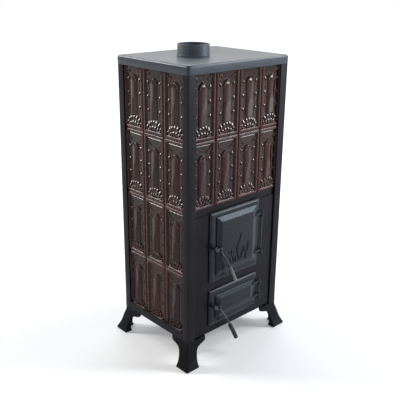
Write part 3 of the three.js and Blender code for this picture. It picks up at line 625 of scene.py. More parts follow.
# Leaves of the cluster at a tile's foot: distance from its middle, height above its bottom
# edge, tilt, half length, half width.
FAN = [
    (0.0, 41.0, 1.57, 13.0, 6.0), (12.6, 39.0, 1.35, 13.0, 5.8), (24.4, 33.0, 1.15, 12.0, 5.5),
    (33.8, 24.5, 1.0, 9.0, 4.5), (6.5, 24.0, 1.5, 10.0, 5.9), (18.8, 21.0, 1.3, 9.5, 5.5),
    (28.5, 16.0, 1.1, 7.5, 4.4),
]
FAN_HEIGHT = 5.9

# Grid of a tile's front: fine steps within GRID_EDGE of its border, coarser ones between.
GRID_EDGE, GRID_FINE, GRID_ACROSS, GRID_UP = 18.0, 1.4, 1.45, 1.6


def border_relief(x, z, w, h):
    """The raised frame of a tile. With d the rounded distance to the tile's edge, a quarter
    ellipse rises to the crest, a faintly crowned flat follows, a cosine falls to the field
    and a small Gaussian bead runs just inside it."""
    side, end = w / 2 - np.abs(x), np.minimum(z, h - z)
    nearer = -CORNER_BLEND * np.logaddexp(-side / CORNER_BLEND, -end / CORNER_BLEND)
    d = np.maximum(nearer + 1.1, 0)
    rise = np.clip(d / TILE_BORDER, 0, 1)
    slope = -EDGE_DROP + (TILE_CREST + EDGE_DROP) * np.sqrt(1 - (1 - rise) ** 2)
    across = np.clip((d - TILE_BORDER) / TILE_FLAT, 0, 1)
    crown = TILE_CREST + 0.25 * np.sin(np.pi * across)
    fall = np.clip((d - TILE_BORDER - TILE_FLAT) / TILE_COVE, 0, 1)
    cove = TILE_CREST * 0.5 * (1 + np.cos(np.pi * fall))
    outer = np.where(d < TILE_BORDER, slope, crown)
    frame_height = np.where(d < TILE_BORDER + TILE_FLAT, outer, cove)
    return frame_height + bell(d, BEAD_PLACE, BEAD_WIDTH), d


def column_relief(x, z):
    """The round-topped column. Its ridge line swings from right of centre above to left of
    centre below along a tanh curve, with a bulging left flank and a nearly flat right one.
    A crescent lip runs round the top, and a shallow moat surrounds it all."""
    spring = COLUMN_TOP - COLUMN_HALF
    radial = np.hypot(x, z - spring)
    inside = COLUMN_HALF - np.where(z > spring, radial, np.abs(x))
    edge = smoothstep(0, 2.6, inside)
    ridge = -2 + 6.5 * np.tanh((z - 112) / 17)
    left = np.clip((ridge - x) / (COLUMN_HALF + ridge), 0, 1)
    right = np.clip((x - ridge) / (COLUMN_HALF - ridge), 0, 1)
    cross = np.where(x < ridge, 1 - 0.75 * left**2.2, 1 - 0.98 * right)
    dome = np.clip(1 - (np.maximum(z - 172, 0) / 26) ** 2, 0.1, 1)
    lip = 3.4 * bell(radial, 16.2, 2.1) * smoothstep(spring - 8, spring + 6, z)
    foot = smoothstep(36, 54, z)
    body = edge * (1.4 + 4.6 * cross * dome + lip) * foot
    return body - 0.9 * bell(inside, -1.6, 1.5) * foot


def leaf_relief(x, z, root, angle, length, half, height):
    """One leaf from its root: half width swells as a sine along it, the section is an arch,
    and a narrow Gaussian vein is pressed into its middle."""
    s, c = math.sin(angle), math.cos(angle)
    along = ((x - root[0]) * s + (z - root[1]) * c) / length
    cross = (x - root[0]) * c - (z - root[1]) * s
    body = np.sin(np.pi * np.clip(along, 0, 1) ** 0.85)
    arch = np.clip(1 - (cross / np.maximum(half * body, 0.05)) ** 2, 0, 1) ** 0.6
    vein = 0.9 * bell(cross, 0, 0.75) * body
    return (height * arch * body**0.5 - vein * (arch > 0)) * ((along > 0) & (along < 1))


def bud_relief(x, z, centre, tilt, reach, half, height):
    """A leaf lobe turned by tilt, curled out at its tip, root at u = -1 and tip at u = 1. Below
    the tip's level it stands out in a straight ramp of slope TIP_SLOPE, so that every tip
    faces up alike, and from its height it falls gently to the root. Across it is the
    flat-topped arch (1 - v^8)^0.5, narrower at the tip."""
    s, c = math.sin(tilt), math.cos(tilt)
    u = ((x - centre[0]) * c + (z - centre[1]) * s) / reach
    v = (-(x - centre[0]) * s + (z - centre[1]) * c) / half
    v = v / (1 - 0.4 * np.clip(u, 0, 1) ** 2)
    ramp = np.clip((centre[1] + reach * s - z) * TIP_SLOPE / height, 0, 1)
    fall = np.clip(1 - 0.7 * (0.2 - u), 0, 1) * np.clip((u + 1) / 0.2, 0, 1)
    arch = np.clip(1 - v**8, 0, 1) * np.clip(1 - np.clip(u, 0, None) ** 8, 0, 1)
    return height * np.minimum(ramp, fall) * np.sqrt(arch)


def vine_relief(side, z):
    """A thin stem beside the column: an arched ridge whose middle waves as a sine of z."""
    middle = 28 + 2.6 * np.sin(2 * np.pi * (z - 76) / 46)
    arch = np.clip(1 - ((side - middle) / 1.7) ** 2, 0, 1)
    return 0.9 * arch * smoothstep(46, 58, z) * (1 - smoothstep(188, 202, z))


def tile_relief(x, z, w, h):
    """Height of the glaze above the sunk field, in millimetres, at x from the tile's middle
    and z above its bottom edge: the border plus the highest of the ornaments."""
    border, d = border_relief(x, z, w, h)
    side = np.abs(x)
    ornament = np.maximum(column_relief(x, z), vine_relief(side, z))
    for level in BUD_LEVELS:
        for across, drop, *bud in BUDS:
            lobe = bud_relief(side, z, (across, level - drop), *bud)
            ornament = np.maximum(ornament, lobe)
    for leaf in CROWN_LEAVES:
        ornament = np.maximum(ornament, leaf_relief(side, z, *leaf))
    fan = np.zeros_like(x)
    for across, level, *leaf in FAN:
        fan = np.maximum(fan, bud_relief(side, z, (across, level), *leaf, FAN_HEIGHT))
    ornament = np.where(fan > 0.4, np.maximum(fan, 0.55 * ornament), np.maximum(fan, ornament))
    return border + ornament * smoothstep(12.5, 16.5, d)


def tile_shape(w, h):
    """Grid lines, relief, crests and rim of one tile, shared by all that have its size. A
    crest is where the relief's second derivatives sum to a strong convex bend, and the rim
    is the raised border, by distance to the nearest edge."""
    xs = spread(-w / 2, w / 2, GRID_EDGE, GRID_FINE, GRID_ACROSS)
    zs = spread(0, h, GRID_EDGE, GRID_FINE, GRID_UP)
    grid_x, grid_z = np.meshgrid(xs, zs, indexing="ij")
    relief = tile_relief(grid_x, grid_z, w, h)
    bend = np.gradient(np.gradient(relief, xs, axis=0), xs, axis=0)
    bend = bend + np.gradient(np.gradient(relief, zs, axis=1), zs, axis=1)
    edge = np.minimum(w / 2 - np.abs(grid_x), np.minimum(grid_z, h - grid_z))
    return xs, zs, relief, smoothstep(0.10, 0.75, -bend), 1 - smoothstep(11, 15, edge)


TILE_CACHE = {}


def relief_tile(name, face):
    """One tile in its place. face is the side of the stove that it stands on: front, left or
    right. The points behind its front count as field, flat and rim to the glaze."""
    low, high = node_box(name)
    w = (high[0] - low[0]) if face == "front" else (high[1] - low[1])
    h = high[2] - low[2]
    key = (round(w, 1), round(h, 1))
    if key not in TILE_CACHE:
        TILE_CACHE[key] = tile_shape(w, h)
    xs, zs, relief, crest, rim = TILE_CACHE[key]
    points, quads, caps = relief_slab(xs, zs, lambda x, z: TILE_CREST - relief, TILE_THICK)
    middle = (low + high) / 2
    x, y, z = points[:, 0], points[:, 1], points[:, 2] + low[2]
    if face == "front":
        place = [x + middle[0], y + low[1], z]
    elif face == "left":
        place = [y + low[0], middle[1] - x, z]
    else:
        place = [high[0] - y, middle[1] + x, z]
    height = np.clip((relief + EDGE_DROP) / (TILE_CREST + EDGE_DROP), 0, 1.1)
    facts = {}
    for fact, values, behind in (("relief", height, 0.0), ("crest", crest, 0.0), ("rim", rim, 1.0)):
        facts[fact] = np.full(len(points), behind)
        facts[fact][: relief.size] = values.ravel()
    seed = sum(ord(letter) * (k + 3) for k, letter in enumerate(name))
    facts["tone"] = np.full(len(points), 0.5 + 0.5 * math.sin(seed * 1.7))
    shell = outward((np.stack(place, 1), quads, caps))
    return piece(f"{name}_glazed", [shell], GLAZE, "stove", [name], 50, facts)


for tile_name in sorted(n for n in NODES if n.startswith("tile_")):
    relief_tile(tile_name, tile_name.split("_")[1])


# ------------------------------------------------------------------ casing

POST_THICK = 5.0
LID_WALL, LID_ROUND, LID_CORNER, LID_FACET = 5.0, 1.3, 7.0, 5.0
PLATE_HOLE = 58.3
COLLAR_BORE, COLLAR_OUTER, COLLAR_FOOT = 54.0, 58.0, 70.0
WELD_RADIUS, WELD_WIDE, WELD_TALL, WELD_RIPPLES, WELD_RIPPLE = 59.0, 2.4, 1.9, 60, 0.35


def corner_post(corner):
    """An angle post: an L outline with rounded edges carried straight up."""
    low, high = node_box(f"post_{corner}")
    x_in = 1 if "left" in corner else -1
    y_in = 1 if "front" in corner else -1
    x0, x1 = (low[0], high[0]) if x_in > 0 else (high[0], low[0])
    y0, y1 = (low[1], high[1]) if y_in > 0 else (high[1], low[1])
    x_wall, y_wall = x0 + x_in * POST_THICK, y0 + y_in * POST_THICK
    outline = [[x0, y0], [x1, y0], [x1, y_wall], [x_wall, y_wall], [x_wall, y1], [x0, y1]]
    shell = bar(outline, 2, low[2], high[2], corner=1.6, edge=0.5, steps=5)
    replaced = [f"post_{corner}"]
    return piece(f"post_{corner}_bar", [shell], FRAME_PAINT, "stove", replaced)


for corner_name in ("front_left", "front_right", "rear_left", "rear_right"):
    corner_post(corner_name)


PLAN_CORNER, PLAN_SIDE = 6, 22


def rounded_plan(half_w, half_d, radius):
    """A rectangle with quarter-circle corners, with points along its sides too."""
    corner = np.linspace(0, np.pi / 2, PLAN_CORNER)
    spans = []
    for turn, (sx, sy) in enumerate(((1, 1), (-1, 1), (-1, -1), (1, -1))):
        a = corner + turn * np.pi / 2
        x = sx * (half_w - radius) + radius * np.cos(a)
        spans.append(np.stack([x, sy * (half_d - radius) + radius * np.sin(a)], 1))
    t = np.linspace(0, 1, PLAN_SIDE, endpoint=False)[1:, None]
    ring = []
    for k, span in enumerate(spans):
        following = spans[(k + 1) % 4][0]
        ring += [span, span[-1] * (1 - t) + following * t]
    return np.concatenate(ring)


def lid():
    """The top plate: a turned-down rim with a sloping facet and rounded edges, and a flat
    that runs in to the flue's hole. Rings go from the hole's underside down inside the rim,
    up its outside and back over the top to the hole."""
    low, high = node_box("top_plate")
    centre = (low + high) / 2
    half_w, half_d = (high[:2] - low[:2]) / 2
    flue_low, flue_high = node_box("flue_collar")
    hole = (flue_low + flue_high)[:2] / 2

    def ring(inset, z, radius):
        plan = rounded_plan(half_w - inset, half_d - inset, radius) + centre[:2]
        return in_plane(plan, 2, z)

    def hole_ring(z):
        away = rounded_plan(half_w, half_d, LID_CORNER) + centre[:2] - hole
        away = away / np.linalg.norm(away, axis=1, keepdims=True)
        return in_plane(hole + PLATE_HOLE * away, 2, z)

    top = high[2]
    controls = [
        hole_ring(top - LID_WALL),
        ring(LID_WALL, top - LID_WALL, 2.5),
        ring(LID_WALL, low[2], 2.5),
        ring(0, low[2], LID_CORNER),
        ring(0, top - LID_FACET, LID_CORNER),
        ring(0.88 * LID_FACET, top, 5.0),
        ring(3 * LID_FACET, top, 3.0),
        hole_ring(top),
    ]
    shell = skin(soften(np.stack(controls), LID_ROUND, 5), along=True, caps=False)
    return piece("top_plate_lid", [shell], TOP_PAINT, "stove", ["top_plate"], 40)


lid()


def flue_spigot():
    """The flue collar: a turned ring with a rolled lip and a rippled weld at the plate."""
    low, high = node_box("flue_collar")
    centre = [(low[0] + high[0]) / 2, (low[1] + high[1]) / 2, 0]
    plate = node_box("top_plate")[1][2]
    bottom, top = low[2], high[2]
    profile = [
        (COLLAR_BORE, bottom), (COLLAR_FOOT, bottom), (COLLAR_FOOT, bottom + 4),
        (COLLAR_OUTER, bottom + 4), (COLLAR_OUTER, top), (COLLAR_BORE, top),
    ]
    tube = turned(profile, centre, 2, 96, True, 1.3, 5)
    angle = np.linspace(0, 2 * np.pi, 16, endpoint=False)
    across, up = WELD_WIDE * np.cos(angle), WELD_TALL * np.sin(angle)
    weld = np.stack([WELD_RADIUS + across, plate + 0.4 + up], 1)
    bead = turned(weld, centre, 2, 120, True)
    around = np.arctan2(bead[0][:, 1] - centre[1], bead[0][:, 0] - centre[0])
    bead[0][:, 2] += WELD_RIPPLE * np.sin(WELD_RIPPLES * around)
    shells = [tube, bead]
    replaced = ["flue_collar"]
    return piece("flue_collar_spigot", shells, COLLAR_PAINT, "stove", replaced, 40)


flue_spigot()


def eased_copy(name, material, width=0.7, title="sheet"):
    """A copy of a pressed or welded node with its sharp edges eased by a small bevel."""
    mesh = NODES[name].data.copy()
    mesh.name = f"{name}_{title}"
    work = bmesh.new()
    work.from_mesh(mesh)
    bmesh.ops.remove_doubles(work, verts=work.verts, dist=1e-6)
    flat = math.radians(0.5)
    bmesh.ops.dissolve_limit(work, angle_limit=flat, verts=work.verts, edges=work.edges)
    work.to_mesh(mesh)
    work.free()
    mesh.materials.clear()
    mesh.materials.append(material)
    thing = new_object(mesh.name, mesh)
    bevel = thing.modifiers.new("eased", "BEVEL")
    bevel.width = width * MM
    bevel.segments = 2
    bevel.limit_method = "ANGLE"
    bevel.angle_limit = math.radians(35)
    bevel.harden_normals = True
    mesh.polygons.foreach_set("use_smooth", np.ones(len(mesh.polygons), bool))
    mesh.set_sharp_from_angle(angle=math.radians(30))
    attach(thing, "stove")
    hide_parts(name)
    return thing


for sheet_name in ("front_panel", "mid_rail", "back_panel", "base_frame"):
    eased_copy(sheet_name, FRAME_PAINT)
eased_copy("ash_pan", ZINC, 0.4)
for casting_name in ("grate", "baffle_plate"):
    eased_copy(casting_name, RAW_IRON, 1.0, "casting")
refinish("firebrick_lining", FIREBRICK)


# ------------------------------------------------------------------ doors

# Rectangles are (left, right, bottom, top). A frame has its flange's and its mouth's.
FRAME_RECTS = {
    "fire": ((-136, 118, 310, 582), (-97, 91, 346, 553)),
    "ash": ((-136, 118, 132, 277), (-97, 91, 169, 242)),
}
LEAF_RECTS = {"fire": (-107, 101, 336, 563), "ash": (-107, 101, 159, 252)}
# How far a leaf's four slopes reach in from its left, right, bottom and top.
LEAF_SLOPES = (20.5, 24.5, 25.0, 20.0)
LATCH_LEVEL = {"fire": 440.0, "ash": 206.0}
LATCH_X = -98.0
HINGE_X, HINGE_Y = 130.0, -187.25
FRAME_BACK, FRAME_EDGE_Y, FRAME_FACE, COLLAR_END = -176.25, -180.25, -183.25, -159.95
LEAF_BACK, LEAF_RIM, LEAF_FACE = -183.55, -186.55, -193.25
LUGS = {"fire": (356.0, 509.0), "ash": (163.0, 221.0)}
LUG_HEIGHT, LUG_GAP, KNUCKLE_RADIUS, EYE_BORE = 9.0, 0.3, 7.5, 3.4
# Where the arm of a hinge eye starts, and its depth: the frame's lugs, the door's knuckles.
LUG_ARM = (110.0, (-183.55, -178.25))
KNUCKLE_ARM = (84.0, (-191.2, -184.6))
# The keeper's lip and foot: spans in x, in y and in z above the latch's pivot, corner, edge.
KEEPER = [
    ((-132, -117), (-202.55, -179.75), (10.3, 18.3), 1.6, 1.0),
    ((-134.5, -114.5), (-187.0, -181.0), (6.5, 22.0), 1.8, 1.2),
]
# A turned end starts this far off its axis, so that its flat cap has a real edge.
ON_AXIS = 0.02
GROOVE_HALF, GROOVE_DEPTH = 4.2, 4.4

# Turned profiles round a latch's pivot, as (radius, y).
BOSS = [
    (ON_AXIS, -185.0), (11.5, -185.0), (10.4, -187.2), (9.0, -190.5), (9.0, -193.2),
    (ON_AXIS, -193.2),
]
STUD = [
    (ON_AXIS, -192.0), (4.0, -192.0), (4.0, -201.8), (6.5, -201.8), (6.3, -203.6),
    (4.6, -204.8), (ON_AXIS, -204.8),
]
HUB_BACK, HUB_FRONT = -193.6, -201.5
HUB = [(4.3, HUB_BACK), (9.0, HUB_BACK), (9.0, HUB_FRONT), (4.3, HUB_FRONT)]
# The nose under the keeper, as (x, z) from the pivot.
NOSE = [(-28, 2.2), (-25, 9.9), (-7, 9.9), (-5.6, -6.0), (-12, -4.6), (-20, -1.0)]
# A lever's rest angle from straight down, and where its grip starts and ends.
LEVERS = {"fire": (25.0, 74.0, 148.0), "ash": (27.0, 92.0, 170.0)}
GRIP_Y = -215.55


def framed(span, y, grow, corner):
    """A rectangle's ring at depth y, grown outwards, with rounded corners."""
    left, right, bottom, top = span
    outline = rect(left - grow, right + grow, bottom - grow, top + grow)
    return in_plane(soften(outline, corner, 4), 1, y)


def hinge_eye(z0, z1, root, depth):
    """An eye round the hinge pin with its arm: a turned ring and a block that reaches it."""
    profile = [(EYE_BORE, z0), (KNUCKLE_RADIUS, z0), (KNUCKLE_RADIUS, z1), (EYE_BORE, z1)]
    ring = turned(profile, [HINGE_X, HINGE_Y, 0], 2, 40, True, 0.7, 4)
    arm = box_of((root, HINGE_X - 4.2), depth, (z0, z1), 1.0, 0.7)
    return [ring, arm]


def cast_frame(door):
    """A door frame: a bevelled flange with softened arrises runs round the mouth and turns
    in as a collar. Hinge lugs stand at its right, the latch's keeper at its left."""
    outer, mouth = FRAME_RECTS[door]
    rings = [
        framed(outer, FRAME_BACK, 0, 5),
        framed(outer, FRAME_EDGE_Y, 0, 5),
        framed(outer, FRAME_FACE, -8, 3),
        framed(mouth, FRAME_FACE, 0, 4),
        framed(mouth, COLLAR_END, 0, 4),
        framed(mouth, COLLAR_END, 4, 5),
        framed(mouth, FRAME_BACK, 4, 5),
    ]
    shells = [skin(soften(np.stack(rings), 1.1, 4), along=True, caps=False)]
    for z in LUGS[door]:
        shells += hinge_eye(z, z + LUG_HEIGHT, *LUG_ARM)
    z = LATCH_LEVEL[door]
    for x_span, y_span, (bottom, top), corner, edge in KEEPER:
        shells.append(box_of(x_span, y_span, (z + bottom, z + top), corner, edge))
    name = f"{door}_door_frame"
    return piece(f"{name}_cast", shells, DOOR_IRON, "stove", [name])


def groove_depth(x, z, strokes, half, depth):
    """Depth of grooves pressed along strokes: a smooth bowl of the distance to the nearest
    stroke, depth times 1 - (distance / half)^2. Strokes taper to their ends."""
    deepest = np.zeros_like(x)
    for knots in strokes:
        path = spline(knots, 24)
        t = np.linspace(-1, 1, 24)
        width = half * np.sqrt(np.clip(1 - 0.8 * t**4, 0.05, 1))
        gap = np.hypot(x[..., None] - path[:, 0], z[..., None] - path[:, 1]) / width
        bowl = np.clip(1 - gap.min(-1) ** 2, 0, 1)
        deepest = np.maximum(deepest, depth * bowl)
    return deepest


# Strokes of the fire door's flames, as (x, z) knots in the stove's frame.
FLAMES = [
    [(12, 474), (8, 458), (1, 443), (-5, 430), (-8, 418), (-7, 402), (-3, 386)],
    [(-3, 386), (1, 376), (8, 368)],
    [(27, 419), (26, 408), (31, 399)],
    [(48, 429), (50, 415), (47, 404), (51, 392)],
    [(36, 397), (39, 384), (36, 374), (38, 363)],
    [(24, 404), (18, 394), (15, 384), (17, 374)],
    [(-52, 409), (-47, 417), (-39, 416), (-36, 405), (-40, 394)],
    [(-27, 394), (-30, 384), (-26, 374), (-27, 364)],
    [(-60, 400), (-62, 388), (-58, 377)],
    [(-46, 382), (-43, 374), (-46, 366)],
    [(-14, 388), (-17, 376), (-13, 366)],
]


def leaf_front(door, x, z):
    """Depth of a door leaf's front. A flat rim with a rounded arris, then four mitred slopes
    to the raised face: the share t of the way up is the least over the four sides."""
    left, right, bottom, top = LEAF_RECTS[door]
    inside = [x - left, right - x, z - bottom, top - z]
    up = [distance / reach for distance, reach in zip(inside, LEAF_SLOPES)]
    t = np.clip(np.minimum.reduce(up), 0, 1)
    y = LEAF_RIM + (LEAF_FACE - LEAF_RIM) * t
    y = y + 1.1 * (1 - np.clip(np.minimum.reduce(inside) / 1.3, 0, 1)) ** 2
    if door == "fire":
        y = y + groove_depth(x, z, FLAMES, GROOVE_HALF, GROOVE_DEPTH)
    return y


def cast_leaf(door):
    """A door leaf with its hinge knuckles, latch boss and headed stud."""
    left, right, bottom, top = LEAF_RECTS[door]
    coarse = 1.35 if door == "fire" else 3.0
    xs, zs = spread(left, right, 3, 0.6, coarse), spread(bottom, top, 3, 0.6, coarse)
    shells = [relief_slab(xs, zs, lambda x, z: leaf_front(door, x, z), LEAF_BACK)]
    for z in LUGS[door]:
        low = z + LUG_HEIGHT + LUG_GAP
        shells += hinge_eye(low, low + LUG_HEIGHT, *KNUCKLE_ARM)
    pivot = [LATCH_X, 0, LATCH_LEVEL[door]]
    shells.append(turned(BOSS, pivot, 1, 40, False, 0.6))
    shells.append(turned(STUD, pivot, 1, 36, False, 0.5))
    name = f"{door}_door"
    return piece(f"{name}_leaf", shells, DOOR_IRON, name, [name])


def hinge_rod(door):
    """The hinge pin: a slim rod with a domed head."""
    low, high = node_box(f"{door}_hinge_pin")
    foot, top = low[2], high[2]
    profile = [
        (ON_AXIS, foot), (2.4, foot), (3.0, foot + 1), (3.0, top - 3), (5.5, top - 3),
        (5.3, top - 1.2), (3.4, top), (ON_AXIS, top),
    ]
    shells = [turned(profile, [HINGE_X, HINGE_Y, 0], 2, 32, False, 0.4)]
    replaced = [f"{door}_hinge_pin"]
    return piece(f"{door}_hinge_rod", shells, LATCH_STEEL, "stove", replaced)


def hung(shell, door):
    """Turns a shape made hanging straight down to the latch's rest angle, at its pivot."""
    a = math.radians(LEVERS[door][0])
    x, y, z = shell[0].T
    turned_x = x * math.cos(a) - z * math.sin(a)
    turned_z = x * math.sin(a) + z * math.cos(a)
    points = np.stack([turned_x + LATCH_X, y, turned_z + LATCH_LEVEL[door]], 1)
    return points, shell[1], shell[2]


def latch_arm(door):
    """The lever: a turned hub, a nose that points left under the keeper, and a round bar
    that swings out from the hub and runs down through the grip to a riveted cap."""
    _, start, end = LEVERS[door]
    knots = [
        (0, -197.9, -4), (0, -198.0, -12), (0, -199.4, -21), (0, -207.0, -40),
        (0, -213.6, -58), (0, GRIP_Y, -start), (0, GRIP_Y, -start - 8),
    ]
    taper = np.interp(np.arange(60), [0, 12, 30, 59], [4.6, 4.2, 3.8, 3.5])
    core = [(0, GRIP_Y, -start - 6), (0, GRIP_Y, -end - 1.5)]
    cap = [
        (ON_AXIS, -end - 0.3), (5.5, -end - 0.3), (5.5, -end - 1.6), (3.8, -end - 3.3),
        (ON_AXIS, -end - 3.3),
    ]
    hanging = [rod(spline(knots, 60), taper), rod(core, 3.5)]
    hanging.append(turned(cap, [0, GRIP_Y, 0], 2, 28, False, 0.5))
    shells = [hung(shell, door) for shell in hanging]
    z = LATCH_LEVEL[door]
    shells.append(turned(HUB, [LATCH_X, 0, z], 1, 44, True, 0.9))
    nose = [(LATCH_X + across, z + up) for across, up in NOSE]
    shells.append(bar(nose, 1, HUB_FRONT, HUB_BACK, 1.6, 0.8))
    name = f"{door}_latch"
    return piece(f"{name}_arm", shells, LATCH_STEEL, name, [name])


def latch_sleeve(door):
    """The grip: a turned sleeve with slightly swollen sides and a groove near each end. The
    fire door's widens towards its lower end, and is of bright steel."""
    _, start, end = LEVERS[door]
    z = np.linspace(-end, -start, 61)
    t = (z + (start + end) / 2) / ((end - start) / 2)
    bright = door == "fire"
    radius = (7.1 - 0.9 * t if bright else 8.0 - 0.2 * t) + 0.13 * (1 - t**2)
    radius = radius - 0.55 * bell(np.abs(t), 0.86, 0.022)
    radius[[0, -1]] -= 1.2
    outer = np.stack([radius, z], 1)
    inner = np.array([(3.9, -start), (3.9, -end)])
    sleeve = turned(np.concatenate([outer, inner]), [0, GRIP_Y, 0], 2, 40, True)
    material = GRIP_STEEL if bright else DARK_GRIP_STEEL
    name, shells = f"{door}_latch", [hung(sleeve, door)]
    return piece(f"{name}_sleeve", shells, material, name, [f"{name}_grip"])


for door_name in ("fire", "ash"):
    cast_frame(door_name)
    cast_leaf(door_name)
    hinge_rod(door_name)
    latch_arm(door_name)
    latch_sleeve(door_name)


# ------------------------------------------------------------------ legs

HALF_W, HALF_D, BODY_Y = 240.0, 188.0, 6.75
LEG_HEIGHT, LEG_TOP_GAP = 102.0, 0.3
PAD_THICK = 6.0
# Depth below the body, flare outwards, reach of each wing inwards, thickness.
LEG_ROWS = [
    (0, 0, 89, 9), (12, 1, 88, 9), (18, 2.5, 83, 9), (23, 4, 66, 9), (29, 6, 50, 10),
    (38, 8.5, 42, 11), (50, 11.5, 37.5, 13), (64, 15.5, 34, 16), (76, 20, 32, 20),
    (86, 24.5, 31.5, 24), (91, 27, 31.5, 27), (94, 28.5, 32, 30), (97, 28.8, 32.5, 31),
    (100, 28.8, 32.5, 31), (101.5, 28, 32, 30), (102, 26, 30, 27),
]
LEG_LARGEST = [LEG_HEIGHT, 28.9, 89.0, 32.0]
PAD_PLAN = np.array([[0, 0], [70, 0], [70, 35], [35, 70], [0, 70]], float)


def leg_corner(sign_x, sign_y):
    """A bowed leg: an L section with rounded edges whose flare, reach and thickness are
    smooth functions of height, down to a thick flared foot, under a flat pad at its top."""

    def place(ring, below):
        x = sign_x * (HALF_W - ring[:, 0])
        y = BODY_Y + sign_y * (HALF_D - ring[:, 1])
        z = (LEG_HEIGHT - below) - LEG_TOP_GAP * (1 - below / LEG_HEIGHT)
        return np.stack([x, y, z + 0 * x], 1)

    rings = []
    for below, flare, reach, thick in np.minimum(spline(LEG_ROWS, 76), LEG_LARGEST):
        wall = thick - flare
        outline = [[-flare, -flare], [reach, -flare], [reach, wall], [wall, wall],
                   [wall, reach], [-flare, reach]]
        rings.append(place(soften(np.array(outline, float), 3.4, 6), below))
    pad = [place(soften(PAD_PLAN, 4, 4), below) for below in (0.0, PAD_THICK)]
    return [skin(np.stack(rings)), skin(np.stack(pad))]


for leg_name, signs in {
    "front_left": (-1, -1), "front_right": (1, -1), "rear_left": (-1, 1), "rear_right": (1, 1),
}.items():
    leg = f"leg_{leg_name}"
    piece(f"{leg}_cast", leg_corner(*signs), LEG_IRON, "stove", [leg], 45)


# ------------------------------------------------------------------ camera and light


COOL, WARM, SKY = (0.93, 0.96, 1.0), (1.0, 0.98, 0.95), (0.84, 0.92, 1.0)
# Each lamp's name, place, aim, size, power and colour.
LAMPS = [
    ("front_sky", (5.6, -4.5, 4.5), (0, -0.18, 0.85), (1.6, 1.4), 330, COOL),
    ("left_sky", (-4.5, 6.0, 3.95), (-0.24, 0, 0.85), (1.6, 1.6), 370, WARM),
    ("front_edge", (3.1, -1.4, 3.75), (0, -0.18, 1.0), (1.4, 0.85), 60, COOL),
    ("left_edge", (-1.5, 3.35, 3.5), (-0.24, 0, 1.0), (1.4, 0.85), 60, WARM),
    ("rear_sky", (1.9, 1.9, 2.75), (0, 0, 1.0), (3.2, 0.45), 42, (0.86, 0.94, 1.0)),
    ("low_front", (4.4, -5.1, 1.35), (0, -0.15, 0.5), (2.2, 0.6), 150, SKY),
    ("right_card", (2.3, -1.15, 0.52), (0, -0.17, 0.75), (0.5, 0.9), 2.0, COOL),
    ("rear_card", (-1.15, 2.3, 0.52), (-0.23, 0, 0.75), (0.5, 0.9), 1.3, WARM),
]
WHITE = (1, 1, 1, 1)
FLOOR_HALF = 14.0
CAMERA_ANGLES = (-42.86, 19.92, 0.56)
CAMERA_PLACE = (-1.5383, -1.63875, 1.3680)


def stand(thing, axes, place):
    """Turns a thing so that its x, y and z axes lie along the given three, at a place."""
    columns = np.stack(axes, 1)
    rows = [[*columns[row], place[row]] for row in range(3)]
    thing.matrix_world = Matrix(rows + [[0, 0, 0, 1]])


def photo_camera():
    """The camera at the photograph's place. Its angles are azimuth, elevation and roll."""
    az, el, roll = (math.radians(v) for v in CAMERA_ANGLES)
    back = np.array([math.sin(az) * math.cos(el), -math.cos(az) * math.cos(el), math.sin(el)])
    right = np.array([math.cos(az), math.sin(az), 0.0])
    up = np.cross(back, right)
    right_rolled = math.cos(roll) * right + math.sin(roll) * up
    up_rolled = -math.sin(roll) * right + math.cos(roll) * up
    data = bpy.data.cameras.new("photo_camera")
    data.lens, data.sensor_width = 55.91, 36.0
    camera = new_object("photo_camera", data)
    stand(camera, [right_rolled, up_rolled, back], CAMERA_PLACE)
    bpy.context.scene.camera = camera


def panel_light(name, place, aim, size, power, colour):
    """A soft rectangular lamp that looks from place to aim and isn't seen by the camera."""
    data = bpy.data.lights.new(name, "AREA")
    data.shape = "RECTANGLE"
    data.size, data.size_y = size
    data.energy = power
    data.color = colour
    lamp = new_object(name, data)
    way = np.subtract(place, aim)
    back = way / np.linalg.norm(way)
    side = np.cross([0, 0, 1.0], back)
    side = side / np.linalg.norm(side)
    stand(lamp, [side, np.cross(back, side), back], place)
    lamp.visible_camera = False


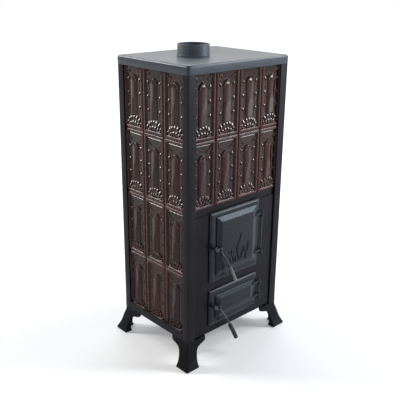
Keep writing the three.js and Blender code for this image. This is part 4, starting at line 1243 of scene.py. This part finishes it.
def background_rays(tree):
    """1 for rays from the camera and for those that metal or glass sends on, else 0."""
    path = tree.nodes.new("ShaderNodeLightPath").outputs
    seen = plus(tree, path["Is Camera Ray"], path["Is Glossy Ray"], True)
    return plus(tree, seen, path["Is Transmission Ray"], True)


def chosen(tree, plain, seen):
    """The output of a mix that shows seen to the background rays and plain to the rest."""
    links = {0: background_rays(tree), 1: plain, 2: seen}
    return wire(tree, "ShaderNodeMixShader", links).outputs[0]


def studio_floor():
    """A pale floor. To the background rays it also glows, more with distance, so that it
    runs out into white."""
    material, tree, shader, place = new_material("studio_floor")
    shader.inputs["Base Color"].default_value = (0.80, 0.80, 0.80, 1)
    shader.inputs["Roughness"].default_value = 0.6
    mesh = bpy.data.meshes.new("studio_floor")
    low, high = -FLOOR_HALF, FLOOR_HALF
    corners = [(low, low, 0), (high, low, 0), (high, high, 0), (low, high, 0)]
    mesh.from_pydata(corners, [], [(0, 1, 2, 3)])
    mesh.materials.append(material)
    floor = new_object("studio_floor", mesh)
    away = wire(tree, "ShaderNodeVectorMath", {0: place}, operation="LENGTH").outputs["Value"]
    glow = between(tree, away, 1.2, 5.0, 0.20, 0.72)
    lit = wire(tree, "ShaderNodeEmission", {"Color": WHITE, "Strength": glow}).outputs[0]
    surface = shader.outputs[0]
    both = wire(tree, "ShaderNodeAddShader", {0: surface, 1: lit}).outputs[0]
    tree.links.new(chosen(tree, surface, both), tree.nodes["Material Output"].inputs[0])


def white_room():
    """A surround that is seen as white and lights the stove with a dim cool grey."""
    world = bpy.data.worlds.new("white_room")
    bpy.context.scene.world = world
    world.use_nodes = True
    tree = world.node_tree
    dim = tree.nodes["Background"]
    dim.inputs["Color"].default_value = (0.93, 0.96, 1.0, 1)
    dim.inputs["Strength"].default_value = 0.32
    bright = wire(tree, "ShaderNodeBackground", {"Color": WHITE, "Strength": 1.0}).outputs[0]
    output = tree.nodes["World Output"].inputs[0]
    tree.links.new(chosen(tree, dim.outputs[0], bright), output)


bpy.context.scene.view_settings.view_transform = "Standard"
photo_camera()
studio_floor()
white_room()
for lamp_row in LAMPS:
    panel_light(*lamp_row)
